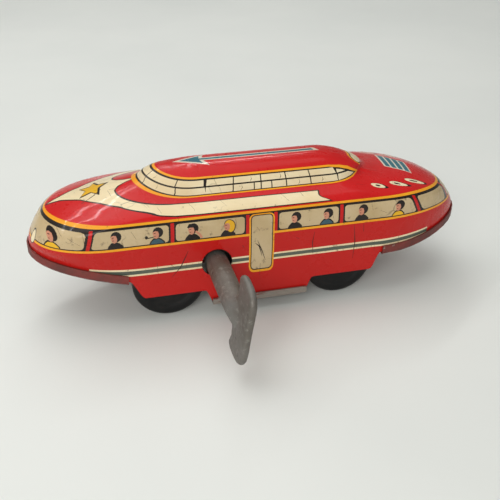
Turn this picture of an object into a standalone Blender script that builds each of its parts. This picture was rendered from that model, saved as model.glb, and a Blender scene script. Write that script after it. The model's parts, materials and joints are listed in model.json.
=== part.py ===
"""Clockwork tin space bus: a streamlined pressed-tin body on a tray, four wheels, motor and key.

Nose towards -X, keyed side towards -Y, +Z up, wheels standing on z = 0. Lengths below are in mm.
"""

import math

import bmesh
import bpy
from mathutils import Matrix, Vector

MM = 0.001

# --- pressed body ---
TIN = 0.5                   # sheet thickness of body and base
GAP = 0.3                   # clearance between neighbouring pieces
NOSE_X = -77.0              # tip of the base lip
TAIL_X = 74.2
HALF_WIDTH = 20.6           # outside of the base lip
WHEEL_RADIUS = 12.0
FLOOR_Z = WHEEL_RADIUS + 2.95      # underside of the tray over the wheels
SILL_Z = FLOOR_Z + 13.45    # painted line under the side windows
BELT_Z = SILL_Z + 7.2       # painted line over the side windows
SHOULDER_Z = BELT_Z + 3.6
DECK_FOOT_Z = SHOULDER_Z + 1.1     # where the raised roof deck starts
DECK_EDGE_Z = DECK_FOOT_Z + 4.1    # rounded upper edge of the deck
ROOF_Z = DECK_EDGE_Z + 3.0
BELT_HALF_WIDTH = HALF_WIDTH - 1.2
DECK_HALF_WIDTH = BELT_HALF_WIDTH - 6.4
DECK_TOP_HALF_WIDTH = DECK_HALF_WIDTH - 4.2

# --- base tray ---
NOSE_LIFT = 6.3             # rise of the tray towards the nose
TAIL_LIFT = 4.6             # rise of the tray towards the tail
WELL_Z = 4.0                # underside of the motor well
WELL_FRONT_X = -20.0
WELL_REAR_X = 12.4
LIP_HEIGHT = 3.2
WELL_LIP_HEIGHT = 2.3
FAIRING_Z = 9.4             # lower edge of the wheel fairings
FAIRING_FRONT_X = -46.6     # front end of the forward fairings
FAIRING_REAR_X = 38.9       # rear end of the after fairings

# --- wheels and axles ---
WHEEL_WIDTH = 5.0
TRACK_OUTER = HALF_WIDTH - 3.2     # outer wheel face to the middle
FRONT_AXLE_X = -33.7
REAR_AXLE_X = 25.1
AXLE_RADIUS = 1.3
AXLE_HALF_LENGTH = TRACK_OUTER - 0.4
COLLAR_RADIUS = 2.4
SLOT_CLEARANCE = 1.2        # wheel to the edge of its slot in the tray
SLOT_INNER = TRACK_OUTER - WHEEL_WIDTH - 1.0    # inner edge of the wheel slots
BRACKET_OUTER = SLOT_INNER - 1.8   # outer face of a rear axle bracket to the middle

# --- motor ---
ARBOR_X = -18.4
KEY_BARREL_RADIUS = 3.75
ARBOR_Z = FLOOR_Z + KEY_BARREL_RADIUS + 0.8    # the key's barrel clears the tray
PLATE_HALF_SPACING = 8.2   # outer face of a motor plate to the middle
PLATE_THICKNESS = 0.8
MODULE = 0.6
PRESSURE_ANGLE = math.radians(25)
GREAT_TEETH = 36
MIDDLE_TEETH = 24
PINION_TEETH = 12
RATCHET_TEETH = 12
RATCHET_RADIUS = 5.2
RATCHET_DEPTH = 0.9
ARBOR_RADIUS = 1.9
ARBOR_SQUARE = 3.2
MIDDLE_ARBOR_RADIUS = 1.1
PILLAR_RADIUS = 1.2
SPRING_OUTER = 9.6
SPRING_INNER = 3.4
SPRING_TURNS = 5
CLICK_PIVOT_RADIUS = 8.3
CLICK_PIN_RADIUS = 0.6

# --- key ---
KEY_HOLE_RADIUS = KEY_BARREL_RADIUS + 1.25
KEY_START_Y = 3.6 - HALF_WIDTH
KEY_END_Y = KEY_START_Y - 43.7
KEY_WING_LENGTH = 13.7
KEY_HALF_SPAN = 12.7
KEY_WING_THICKNESS = 2.3
KEY_LEAN = math.radians(9)


def material(name, colour, metallic=0.0, roughness=0.4):
    mat = bpy.data.materials.new(name)
    mat.use_nodes = True
    shader = mat.node_tree.nodes["Principled BSDF"]
    shader.inputs["Base Color"].default_value = (*colour, 1.0)
    shader.inputs["Metallic"].default_value = metallic
    shader.inputs["Roughness"].default_value = roughness
    return mat


def make_object(name, mesh_maker, mat, origin=(0.0, 0.0, 0.0)):
    """Turns a bmesh in millimetres into an object whose origin is at the given point."""
    centre = Vector(origin)
    for vert in mesh_maker.verts:
        vert.co = (vert.co - centre) * MM
    bmesh.ops.recalc_face_normals(mesh_maker, faces=mesh_maker.faces)
    mesh = bpy.data.meshes.new(name)
    mesh_maker.to_mesh(mesh)
    mesh_maker.free()
    obj = bpy.data.objects.new(name, mesh)
    obj.location = centre * MM
    bpy.context.scene.collection.objects.link(obj)
    if mat is not None:
        mesh.materials.append(mat)
    return obj


def cut(target, cutters, operation="DIFFERENCE"):
    for cutter in cutters:
        cutter.hide_render = True
        cutter.display_type = "WIRE"
        step = target.modifiers.new("Cut", "BOOLEAN")
        step.solver = "EXACT"
        step.operation = operation
        step.object = cutter


def box(name, low, high):
    shape = bmesh.new()
    size = Vector(high) - Vector(low)
    middle = (Vector(high) + Vector(low)) / 2
    bmesh.ops.create_cube(shape, size=1.0, matrix=Matrix.Translation(middle) @ Matrix.Diagonal((*size, 1.0)))
    return make_object(name, shape, None)


def rod_cutter(name, x, z, radius, low_y, high_y, segments=32):
    return extruded(name, circle(x, z, radius, segments), low_y, high_y, None)


def circle(x, z, radius, segments):
    turn = 2 * math.pi / segments
    return [(x + radius * math.cos(i * turn), z + radius * math.sin(i * turn)) for i in range(segments)]


def extruded(name, outline, low_y, high_y, mat, origin=(0.0, 0.0, 0.0)):
    """A flat piece: an outline of (x, z) points carried along y."""
    shape = bmesh.new()
    ring = [shape.verts.new((x, low_y, z)) for x, z in outline]
    face = shape.faces.new(ring)
    far = bmesh.ops.extrude_face_region(shape, geom=[face])
    moved = [item for item in far["geom"] if isinstance(item, bmesh.types.BMVert)]
    bmesh.ops.translate(shape, verts=moved, vec=(0.0, high_y - low_y, 0.0))
    bmesh.ops.triangulate(shape, faces=[f for f in shape.faces if len(f.verts) > 4])
    return make_object(name, shape, mat, origin)


def turned(name, profile, x, z, mat, segments=32):
    """A closed profile of (radius, y) points spun about the line through (x, z) along y."""
    shape = bmesh.new()
    verts = [shape.verts.new((x + radius, y, z)) for radius, y in profile]
    pairs = list(zip(verts, verts[1:] + verts[:1]))
    if profile[0][0] == 0.0 and profile[-1][0] == 0.0:
        pairs.pop()
    edges = [shape.edges.new(pair) for pair in pairs]
    bmesh.ops.spin(shape, geom=verts + edges, cent=(x, 0, z), axis=(0, 1, 0),
                   angle=2 * math.pi, steps=segments, use_merge=True)
    bmesh.ops.remove_doubles(shape, verts=shape.verts, dist=1e-4)
    return make_object(name, shape, mat, (x, 0.0, z))


def shaft(name, x, z, radius, low_y, high_y, mat, segments=20):
    return extruded(name, circle(x, z, radius, segments), low_y, high_y, mat, (x, 0.0, z))


# ---------------------------------------------------------------- pressed tin surfaces

LIP_PLAN = dict(width=HALF_WIDTH, nose=NOSE_X, nose_mid=-39.3, nose_power=2.15,
                tail=TAIL_X, tail_mid=37.5, tail_power=1.85)


def inset(plan, amount):
    """The same outline in plan, a given distance further in."""
    smaller = dict(plan)
    smaller["width"] -= amount
    smaller["nose"] += amount
    smaller["tail"] -= amount
    return smaller


def blend(value):
    value = min(max(value, 0.0), 1.0)
    return value * value * (3 - 2 * value)


def floor_z(x):
    """Underside of the tray along the toy, apart from the motor well."""
    nose = NOSE_LIFT * max((-45.0 - x) / (-45.0 - NOSE_X), 0.0)
    tail = TAIL_LIFT * max((x - 44.0) / (TAIL_X - 44.0), 0.0) ** 1.5
    return FLOOR_Z + nose + tail


def edge_z(x):
    """Lower edge of the body along the toy: tray level at the ends, fairings, motor well."""
    ends = floor_z(x) + TIN + GAP
    well = WELL_Z + TIN + GAP
    level = ends + (FAIRING_Z - ends) * blend((x - FAIRING_FRONT_X) / 4.8)
    level += (well - level) * blend((x - WELL_FRONT_X + 2.4) / 2.8)
    level += (FAIRING_Z - level) * blend((x - WELL_REAR_X + 0.4) / 2.6)
    return level + (ends - level) * blend((x - FAIRING_REAR_X + 3.6) / 3.6)


def stations():
    """Positions along the toy where the pressed sheets change shape, nose to tail."""
    nose_run = LIP_PLAN["nose_mid"] - LIP_PLAN["nose"]
    tail_run = LIP_PLAN["tail"] - LIP_PLAN["tail_mid"]
    found = []
    for i in range(1, 11):
        found.append(LIP_PLAN["nose_mid"] - nose_run * math.cos(i * 0.125) ** (2 / LIP_PLAN["nose_power"]))
        found.append(LIP_PLAN["tail_mid"] + tail_run * math.cos(i * 0.13) ** (2 / LIP_PLAN["tail_power"]))
    found = [x for x in found if x < -47.5 or x > 40.0]
    found += [FAIRING_FRONT_X + step for step in (0.0, 1.2, 2.4, 3.6, 4.8)]
    found += [-37.0, -33.7, -29.0, -25.0]
    found += [WELL_FRONT_X + step for step in (-2.4, -1.7, -1.0, -0.3, 0.4)]
    found += [-15.0, -11.0, -7.0, -2.0, 3.0, 7.5]
    found += [WELL_REAR_X + step for step in (-0.4, 0.25, 0.9, 1.55, 2.2)]
    found += [18.0, 22.0, 25.1, 29.0, 33.0]
    found += [FAIRING_REAR_X - step for step in (3.6, 2.7, 1.8, 0.9, 0.0)]
    return sorted(found)


def ring_point(plan, station):
    """The point of one outline that belongs to a station: (x, half width)."""
    lip = LIP_PLAN
    if station < lip["nose_mid"]:
        reach = (lip["nose_mid"] - station) / (lip["nose_mid"] - lip["nose"])
        angle = math.acos(min(reach, 1.0) ** (lip["nose_power"] / 2))
        run = plan["nose_mid"] - plan["nose"]
        x = plan["nose_mid"] - run * math.cos(angle) ** (2 / plan["nose_power"])
        return x, plan["width"] * math.sin(angle) ** (2 / plan["nose_power"])
    if station > lip["tail_mid"]:
        reach = (station - lip["tail_mid"]) / (lip["tail"] - lip["tail_mid"])
        angle = math.acos(min(reach, 1.0) ** (lip["tail_power"] / 2))
        run = plan["tail"] - plan["tail_mid"]
        x = plan["tail_mid"] + run * math.cos(angle) ** (2 / plan["tail_power"])
        return x, plan["width"] * math.sin(angle) ** (2 / plan["tail_power"])
    part = (station - lip["nose_mid"]) / (lip["tail_mid"] - lip["nose_mid"])
    return plan["nose_mid"] + part * (plan["tail_mid"] - plan["nose_mid"]), plan["width"]


def outline_ring(plan, height):
    """A closed ring of points round the toy: nose, keyed side, tail, far side."""
    along = [ring_point(plan, station) for station in stations()]
    near = [(x, -y, height(x)) for x, y in along]
    far = [(x, y, height(x)) for x, y in reversed(along)]
    nose = [(plan["nose"], 0.0, height(plan["nose"]))]
    tail = [(plan["tail"], 0.0, height(plan["tail"]))]
    return nose + near + tail + far


def drooping(plan, side_z, nose_z, tail_z):
    """Height of a ring that is level along the sides and bends down at both ends."""
    def height(x):
        nose = (plan["nose_mid"] - x) / (plan["nose_mid"] - plan["nose"])
        tail = (x - plan["tail_mid"]) / (plan["tail"] - plan["tail_mid"])
        droop = (side_z - nose_z) * min(max(nose, 0.0), 1.0) ** 2.6
        return side_z - droop - (side_z - tail_z) * min(max(tail, 0.0), 1.0) ** 2.6
    return height


def body_plan(width, nose, nose_mid, nose_power, tail, tail_mid, tail_power):
    return dict(width=width, nose=nose, nose_mid=nose_mid, nose_power=nose_power,
                tail=tail, tail_mid=tail_mid, tail_power=tail_power)


def body_rings():
    """Outlines of the body from its lower edge up to the roof, each with its height."""
    wall = inset(LIP_PLAN, TIN + GAP + 0.1)
    sill = body_plan(BELT_HALF_WIDTH + 0.5, NOSE_X + 1.6, -50.0, 2.2, TAIL_X - 3.0, 38.0, 2.0)
    belt = body_plan(BELT_HALF_WIDTH, NOSE_X + 6.3, -52.2, 1.8, TAIL_X - 8.0, 40.4, 1.93)
    round_off = body_plan(BELT_HALF_WIDTH - 0.4, NOSE_X + 7.6, -46.0, 1.8, TAIL_X - 9.4, 37.0, 1.9)
    shoulder = body_plan(BELT_HALF_WIDTH - 1.9, NOSE_X + 12.4, -37.0, 1.75, TAIL_X - 14.0, 29.0, 1.85)
    banner = body_plan(BELT_HALF_WIDTH - 4.2, NOSE_X + 21.0, -32.0, 1.85, TAIL_X - 21.5, 26.0, 1.9)
    foot = body_plan(DECK_HALF_WIDTH, NOSE_X + 35.4, -24.0, 2.0, TAIL_X - 36.4, 22.0, 2.0)
    slope = body_plan((DECK_HALF_WIDTH + DECK_TOP_HALF_WIDTH) / 2 + 0.3, NOSE_X + 38.5, -22.5, 2.0,
                      TAIL_X - 38.4, 21.5, 2.0)
    top = body_plan(DECK_TOP_HALF_WIDTH, NOSE_X + 41.8, -21.5, 2.0, TAIL_X - 41.6, 21.0, 2.0)
    roof = body_plan(DECK_TOP_HALF_WIDTH * 0.66, NOSE_X + 47.0, -20.5, 2.0, TAIL_X - 47.0, 20.0, 2.0)
    crown = body_plan(DECK_TOP_HALF_WIDTH * 0.3, NOSE_X + 53.0, -19.5, 2.0, TAIL_X - 53.0, 19.0, 2.0)
    return [
        (wall, edge_z),
        (wall, drooping(wall, FLOOR_Z + 2.65, FLOOR_Z + 7.65, FLOOR_Z + 6.85)),
        (inset(wall, -0.15), drooping(wall, FLOOR_Z + 6.25, FLOOR_Z + 9.45, FLOOR_Z + 8.45)),
        (sill, drooping(sill, SILL_Z, SILL_Z - 0.3, SILL_Z - 0.6)),
        (belt, drooping(belt, BELT_Z, BELT_Z - 0.2, BELT_Z - 2.4)),
        (round_off, drooping(round_off, BELT_Z + 1.2, BELT_Z + 1.0, BELT_Z - 1.6)),
        (shoulder, drooping(shoulder, BELT_Z + 2.5, BELT_Z + 2.9, BELT_Z + 0.7)),
        (banner, drooping(banner, SHOULDER_Z, SHOULDER_Z + 1.0, SHOULDER_Z - 0.7)),
        (foot, drooping(foot, DECK_FOOT_Z, DECK_FOOT_Z + 2.6, DECK_FOOT_Z + 0.5)),
        (slope, drooping(slope, DECK_FOOT_Z + 2.1, DECK_EDGE_Z + 0.5, DECK_EDGE_Z - 1.5)),
        (top, drooping(top, DECK_EDGE_Z, ROOF_Z - 0.9, DECK_EDGE_Z + 0.2)),
        (roof, drooping(roof, ROOF_Z - 1.0, ROOF_Z - 0.25, ROOF_Z - 0.9)),
        (crown, drooping(crown, ROOF_Z - 0.15, ROOF_Z, ROOF_Z - 0.15)),
    ]


def sheet(name, rings, mat, thickness_offset):
    """A pressed sheet: rings joined by faces, the last ring closed straight across."""
    shape = bmesh.new()
    loops = [[shape.verts.new(point) for point in ring] for ring in rings]
    count = len(loops[0])
    for lower, upper in zip(loops, loops[1:]):
        for i in range(count):
            j = (i + 1) % count
            shape.faces.new((lower[i], lower[j], upper[j], upper[i]))
    last = loops[-1]
    half = count // 2
    shape.faces.new((last[0], last[1], last[-1]))
    for i in range(1, half - 1):
        shape.faces.new((last[i], last[i + 1], last[-i - 1], last[-i]))
    shape.faces.new((last[half - 1], last[half], last[half + 1]))
    obj = make_object(name, shape, mat)
    walls = obj.modifiers.new("Sheet", "SOLIDIFY")
    walls.thickness = TIN * MM
    walls.offset = thickness_offset
    return obj


def make_body(mat):
    rings = [outline_ring(plan, height) for plan, height in body_rings()]
    body = sheet("body_shell", rings, mat, -1.0)
    hole = rod_cutter("key_hole_cutter", ARBOR_X, ARBOR_Z, KEY_HOLE_RADIUS, -HALF_WIDTH - 5, -HALF_WIDTH + 6)
    cut(body, [hole])


def make_well():
    """The sunk part of the tray between the wheels, with its own low lip along the sides."""
    top = FLOOR_Z + TIN
    well = box("motor_well", (WELL_FRONT_X, -HALF_WIDTH, WELL_Z), (WELL_REAR_X, HALF_WIDTH, top))
    inner_y = HALF_WIDTH - TIN
    cutters = [box("well_inside_cutter", (WELL_FRONT_X + TIN, -inner_y, WELL_Z + TIN),
                   (WELL_REAR_X - TIN, inner_y, top + 5))]
    wall_y = HALF_WIDTH - 2.2
    for side_name, side in (("left", -1), ("right", 1)):
        ends = sorted((side * wall_y, side * (HALF_WIDTH + 5)))
        low = (WELL_FRONT_X - 5, ends[0], WELL_Z + WELL_LIP_HEIGHT)
        high = (WELL_REAR_X + 5, ends[1], top + 5)
        cutters.append(box(f"well_lip_{side_name}_cutter", low, high))
        ends = sorted((side * wall_y, side * inner_y))
        low = (WELL_FRONT_X - 5, ends[0], WELL_Z + TIN)
        high = (WELL_REAR_X + 5, ends[1], top + 5)
        cutters.append(box(f"well_end_{side_name}_cutter", low, high))
    cut(well, cutters)
    return well


def make_base(mat):
    rings = [
        outline_ring(LIP_PLAN, lambda x: floor_z(x) + LIP_HEIGHT),
        outline_ring(LIP_PLAN, lambda x: floor_z(x) + 0.6),
        outline_ring(inset(LIP_PLAN, 0.5), floor_z),
        outline_ring(inset(LIP_PLAN, 9.0), floor_z),
    ]
    base = sheet("base_plate", rings, mat, -1.0)
    reach = WHEEL_RADIUS + SLOT_CLEARANCE
    well_front = WELL_FRONT_X + TIN / 2
    well_rear = WELL_REAR_X - TIN / 2
    spans = (("front", min(FRONT_AXLE_X - reach, FAIRING_FRONT_X), well_front),
             ("rear", well_rear, max(REAR_AXLE_X + reach, FAIRING_REAR_X + GAP)))
    cutters = []
    for axle_name, low_x, high_x in spans:
        for side_name, side in (("left", -1), ("right", 1)):
            ends = sorted((side * SLOT_INNER, side * (HALF_WIDTH + 6)))
            low = (low_x, ends[0], WELL_Z)
            high = (high_x, ends[1], SILL_Z)
            cutters.append(box(f"slot_{axle_name}_{side_name}_cutter", low, high))
    reach_y = HALF_WIDTH + 5
    cutters.append(box("well_opening_cutter", (well_front, -reach_y, WELL_Z), (well_rear, reach_y, SILL_Z)))
    cut(base, cutters)
    cut(base, [make_well()], "UNION")
    opening = PLATE_HALF_SPACING + 2.4
    cut(base, [box("motor_opening_cutter", (FRONT_AXLE_X - 10.0, -opening, WELL_Z + TIN + 1.0),
                   (WELL_FRONT_X + 1.0, opening, SILL_Z))])


# ---------------------------------------------------------------- running gear

def make_wheel(name, x, side, mat):
    outer = TRACK_OUTER
    inner = outer - WHEEL_WIDTH
    bore = AXLE_RADIUS + GAP
    radius = WHEEL_RADIUS
    profile = [
        (bore, inner + 0.2), (bore + 1.8, inner + 0.2), (bore + 2.2, inner + 2.2),
        (radius - 2.2, inner + 2.2), (radius - 1.9, inner + 0.3), (radius - 1.2, inner),
        (radius - 0.4, inner + 0.4), (radius, inner + 1.2), (radius, outer - 1.9),
        (radius - 0.5, outer - 0.9), (radius - 1.6, outer - 0.2), (radius - 3.0, outer), (bore, outer),
    ]
    turned(name, [(r, side * y) for r, y in profile], x, WHEEL_RADIUS, mat, 36)


def make_running_gear(mats):
    for axle_name, x in (("front", FRONT_AXLE_X), ("rear", REAR_AXLE_X)):
        shaft(f"{axle_name}_axle", x, WHEEL_RADIUS, AXLE_RADIUS,
              -AXLE_HALF_LENGTH, AXLE_HALF_LENGTH, mats["steel"])
        make_wheel(f"wheel_{axle_name}_left", x, -1, mats["black"])
        make_wheel(f"wheel_{axle_name}_right", x, 1, mats["black"])
    for side_name, side in (("left", -1), ("right", 1)):
        make_bracket(f"rear_bracket_{side_name}", side, mats["plate"])
        bore = AXLE_RADIUS + GAP
        ends = [side * (BRACKET_OUTER + GAP + 0.1), side * (TRACK_OUTER - WHEEL_WIDTH - 0.3)]
        profile = [(bore, ends[0]), (COLLAR_RADIUS, ends[0]), (COLLAR_RADIUS, ends[1]), (bore, ends[1])]
        turned(f"rear_collar_{side_name}", profile, REAR_AXLE_X, WHEEL_RADIUS, mats["brass"], 20)


def make_bracket(name, side, mat):
    """Hanger of the rear axle: a folded strip with a flange under the tray."""
    top = FLOOR_Z - GAP
    inner = BRACKET_OUTER - PLATE_THICKNESS
    ends = sorted((side * inner, side * BRACKET_OUTER))
    outline = [(REAR_AXLE_X - 6, top), (REAR_AXLE_X - 6, top - 1.4), (REAR_AXLE_X - 3.4, WHEEL_RADIUS - 2.6),
               (REAR_AXLE_X - 1.5, WHEEL_RADIUS - 3.8), (REAR_AXLE_X + 1.5, WHEEL_RADIUS - 3.8),
               (REAR_AXLE_X + 3.4, WHEEL_RADIUS - 2.6), (REAR_AXLE_X + 6, top - 1.4), (REAR_AXLE_X + 6, top)]
    bracket = extruded(name, outline, ends[0], ends[1], mat)
    flange_ends = sorted((side * (inner - 4.6), side * (inner + 0.4)))
    low = (REAR_AXLE_X - 6, flange_ends[0], top - PLATE_THICKNESS)
    high = (REAR_AXLE_X + 6, flange_ends[1], top)
    flange = box(f"{name}_flange", low, high)
    cut(bracket, [flange], "UNION")
    hole = rod_cutter(f"{name}_cutter", REAR_AXLE_X, WHEEL_RADIUS, AXLE_RADIUS + GAP, -16, 16, 20)
    cut(bracket, [hole])


# ---------------------------------------------------------------- clockwork

GREAT_PITCH = MODULE * GREAT_TEETH / 2
MIDDLE_PITCH = MODULE * MIDDLE_TEETH / 2
PINION_PITCH = MODULE * PINION_TEETH / 2
MESH_SPACE = 0.12           # extra centre distance of each pair of gears


def middle_arbor_position():
    """The point that keeps both pairs of gears in mesh, above the line from arbor to axle."""
    to_great = GREAT_PITCH + PINION_PITCH + MESH_SPACE
    to_axle = MIDDLE_PITCH + PINION_PITCH + MESH_SPACE
    run_x = FRONT_AXLE_X - ARBOR_X
    run_z = WHEEL_RADIUS - ARBOR_Z
    span = math.hypot(run_x, run_z)
    along = (to_great ** 2 - to_axle ** 2 + span ** 2) / (2 * span)
    across = math.sqrt(to_great ** 2 - along ** 2)
    unit_x = run_x / span
    unit_z = run_z / span
    return (ARBOR_X + along * unit_x + across * unit_z, ARBOR_Z + along * unit_z - across * unit_x)


def gear_outline(x, z, teeth, phase):
    """Involute teeth round (x, z), with the middle of one tooth at the angle phase."""
    pitch = MODULE * teeth / 2
    base = pitch * math.cos(PRESSURE_ANGLE)
    tip = pitch + 0.8 * MODULE
    root = pitch - 1.1 * MODULE
    half = math.pi / (2 * teeth) * 0.86
    involute = math.tan(PRESSURE_ANGLE) - PRESSURE_ANGLE

    def half_angle(radius):
        press = math.acos(min(base / radius, 1.0))
        return half + involute - (math.tan(press) - press)

    low = max(base, root)
    radii = [root] if root < base - 1e-3 else []
    radii += [low + (tip - low) * part for part in (0.0, 0.4, 0.75, 1.0)]
    points = []
    for tooth in range(teeth):
        middle = phase + 2 * math.pi * tooth / teeth
        rising = [(radius, middle - half_angle(max(radius, low))) for radius in radii]
        falling = [(radius, middle + half_angle(max(radius, low))) for radius in reversed(radii)]
        points += rising + falling
    return [(x + radius * math.cos(angle), z + radius * math.sin(angle)) for radius, angle in points]


def make_gear(name, x, z, teeth, phase, low_y, high_y, bore, mat):
    gear = extruded(name, gear_outline(x, z, teeth, phase), low_y, high_y, mat, (x, 0.0, z))
    hole = rod_cutter(f"{name}_bore_cutter", x, z, bore, low_y - 1, high_y + 1, 20)
    cut(gear, [hole])
    return gear


def from_arbor(radius, degrees):
    angle = math.radians(degrees)
    return ARBOR_X + radius * math.cos(angle), ARBOR_Z + radius * math.sin(angle)


def make_ratchet(mat):
    outline = []
    step = 360 / RATCHET_TEETH
    for tooth in range(RATCHET_TEETH):
        face = 103.0 + tooth * step
        outline.append(from_arbor(RATCHET_RADIUS - RATCHET_DEPTH, face - 1.0))
        outline.append(from_arbor(RATCHET_RADIUS, face))
        outline.append(from_arbor(RATCHET_RADIUS - RATCHET_DEPTH / 2, face + step / 2))
    ratchet = extruded("ratchet_wheel", outline, -3.2, -2.2, mat, (ARBOR_X, 0.0, ARBOR_Z))
    cut(ratchet, [rod_cutter("ratchet_bore_cutter", ARBOR_X, ARBOR_Z, ARBOR_RADIUS + GAP, -5, 0, 20)])


def click_pivot():
    return from_arbor(CLICK_PIVOT_RADIUS, 60)


def make_click(mats):
    pivot_x, pivot_z = click_pivot()
    tip_x, tip_z = from_arbor(RATCHET_RADIUS - 0.25, 98.5)
    length = math.hypot(tip_x - pivot_x, tip_z - pivot_z)
    unit_x = (tip_x - pivot_x) / length
    unit_z = (tip_z - pivot_z) / length

    def local(along, across):
        return pivot_x + along * unit_x - across * unit_z, pivot_z + along * unit_z + across * unit_x

    turns = [math.radians(50 + 26 * i) for i in range(11)]
    hub = [local(1.3 * math.cos(turn), 1.3 * math.sin(turn)) for turn in turns]
    outline = hub + [local(length - 0.8, -0.45), local(length, -0.3), local(length, 0.12)]
    click = extruded("click", outline, -3.2, -2.2, mats["steel"], (pivot_x, 0.0, pivot_z))
    cut(click, [rod_cutter("click_bore_cutter", pivot_x, pivot_z, CLICK_PIN_RADIUS + 0.15, -5, 0, 16)])
    profile = [(0.0, -3.9), (1.1, -3.9), (1.1, -3.5), (CLICK_PIN_RADIUS, -3.5),
               (CLICK_PIN_RADIUS, -0.6), (0.0, -0.6)]
    turned("click_pin", profile, pivot_x, pivot_z, mats["brass"], 16)
    bend = [(-1.2, -4.6), (0.2, -3.0), (1.8, -2.1), (3.0, -1.7)]
    strip = [local(a, b) for a, b in bend] + [local(a - 0.1, b - 0.35) for a, b in reversed(bend)]
    extruded("click_spring", strip, -3.0, -2.4, mats["spring"], (pivot_x, 0.0, pivot_z))


def make_mainspring(mat):
    """A flat strip coiled round the arbor; its outer end lies by the upper rear pillar."""
    strip = 0.3
    spring_y = (PLATE_THICKNESS + GAP - PLATE_HALF_SPACING, -4.3)
    steps = SPRING_TURNS * 28
    outer = []
    inner = []
    for i in range(steps + 1):
        part = i / steps
        angle = 52 + 360 * SPRING_TURNS * part
        radius = SPRING_OUTER + (SPRING_INNER - SPRING_OUTER) * part
        outer.append(from_arbor(radius, angle))
        inner.append(from_arbor(radius - strip, angle))
    shape = bmesh.new()
    rows = []
    for y in spring_y:
        rows.append([(shape.verts.new((a[0], y, a[1])), shape.verts.new((b[0], y, b[1])))
                     for a, b in zip(outer, inner)])
    near, far = rows
    for i in range(steps):
        shape.faces.new((near[i][0], near[i + 1][0], near[i + 1][1], near[i][1]))
        shape.faces.new((far[i][0], far[i][1], far[i + 1][1], far[i + 1][0]))
        shape.faces.new((near[i][0], far[i][0], far[i + 1][0], near[i + 1][0]))
        shape.faces.new((near[i][1], near[i + 1][1], far[i + 1][1], far[i][1]))
    shape.faces.new((near[0][0], near[0][1], far[0][1], far[0][0]))
    shape.faces.new((near[-1][0], far[-1][0], far[-1][1], near[-1][1]))
    make_object("mainspring", shape, mat, (ARBOR_X, 0.0, ARBOR_Z))


PILLARS = ((-6.6, 32.2), (-6.4, 8.6), (-24.6, 34.2), (-25.4, 7.5))


def make_motor_frame(mats):
    middle_x, middle_z = middle_arbor_position()
    foot = WELL_Z + TIN + GAP
    outline = [(-18.8, foot), (-3.6, foot), (-3.6, 34.0), (-5.4, 35.6), (-26.0, 36.6), (-37.4, 27.0),
               (FRONT_AXLE_X - 3.8, 14.0), (FRONT_AXLE_X - 2.4, WHEEL_RADIUS - 3.6),
               (FRONT_AXLE_X + 2.0, WHEEL_RADIUS - 4.0), (-27.0, foot + 1.2), (-19.2, foot + 1.2)]
    for side_name, side in (("left", -1), ("right", 1)):
        ends = sorted((side * PLATE_HALF_SPACING, side * (PLATE_HALF_SPACING - PLATE_THICKNESS)))
        plate = extruded(f"motor_plate_{side_name}", outline, ends[0], ends[1], mats["plate"])
        holes = [(ARBOR_X, ARBOR_Z, ARBOR_RADIUS + 0.6), (middle_x, middle_z, MIDDLE_ARBOR_RADIUS + GAP),
                 (FRONT_AXLE_X, WHEEL_RADIUS, AXLE_RADIUS + GAP)]
        cutters = [rod_cutter(f"plate_{side_name}_cutter_{i}", x, z, radius, -14, 14, 20)
                   for i, (x, z, radius) in enumerate(holes)]
        cut(plate, cutters)
    inner = PLATE_HALF_SPACING - PLATE_THICKNESS - GAP
    for number, (x, z) in enumerate(PILLARS, start=1):
        shaft(f"pillar_{number}", x, z, PILLAR_RADIUS, -inner, inner, mats["brass"], 16)


def make_train(mats):
    middle_x, middle_z = middle_arbor_position()
    to_middle = math.atan2(middle_z - ARBOR_Z, middle_x - ARBOR_X)
    to_axle = math.atan2(WHEEL_RADIUS - middle_z, FRONT_AXLE_X - middle_x)
    half_pitch = math.pi / PINION_TEETH
    great = make_gear("great_wheel", ARBOR_X, ARBOR_Z, GREAT_TEETH, to_middle, -1.7, -0.7,
                      ARBOR_RADIUS + GAP, mats["brass"])
    pivot_x, pivot_z = click_pivot()
    cut(great, [rod_cutter("great_pin_cutter", pivot_x, pivot_z, CLICK_PIN_RADIUS + 0.15, -3, 1, 16)])
    make_gear("middle_pinion", middle_x, middle_z, PINION_TEETH, to_middle + math.pi + half_pitch, -1.9, 1.2,
              MIDDLE_ARBOR_RADIUS + GAP, mats["steel"])
    make_gear("middle_gear", middle_x, middle_z, MIDDLE_TEETH, to_axle, 1.6, 2.6,
              MIDDLE_ARBOR_RADIUS + GAP, mats["brass"])
    make_gear("axle_pinion", FRONT_AXLE_X, WHEEL_RADIUS, PINION_TEETH, to_axle + math.pi + half_pitch,
              1.3, 3.3, AXLE_RADIUS + GAP, mats["steel"])
    outer = PLATE_HALF_SPACING + 0.6
    shaft("middle_arbor", middle_x, middle_z, MIDDLE_ARBOR_RADIUS, -outer, outer, mats["steel"])


def make_arbor(mat):
    outer = PLATE_HALF_SPACING + 0.8
    arbor = shaft("winding_arbor", ARBOR_X, ARBOR_Z, ARBOR_RADIUS, -outer, outer, mat, 24)
    half = ARBOR_SQUARE / 2
    square = [(-half, -half), (half, -half), (half, half), (-half, half)]
    lean = [(ARBOR_X + x * math.cos(KEY_LEAN) + z * math.sin(KEY_LEAN),
             ARBOR_Z - x * math.sin(KEY_LEAN) + z * math.cos(KEY_LEAN)) for x, z in square]
    end = extruded("arbor_square", lean, KEY_START_Y - 12.0, -outer + 1.0, None)
    cut(arbor, [end], "UNION")


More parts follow.
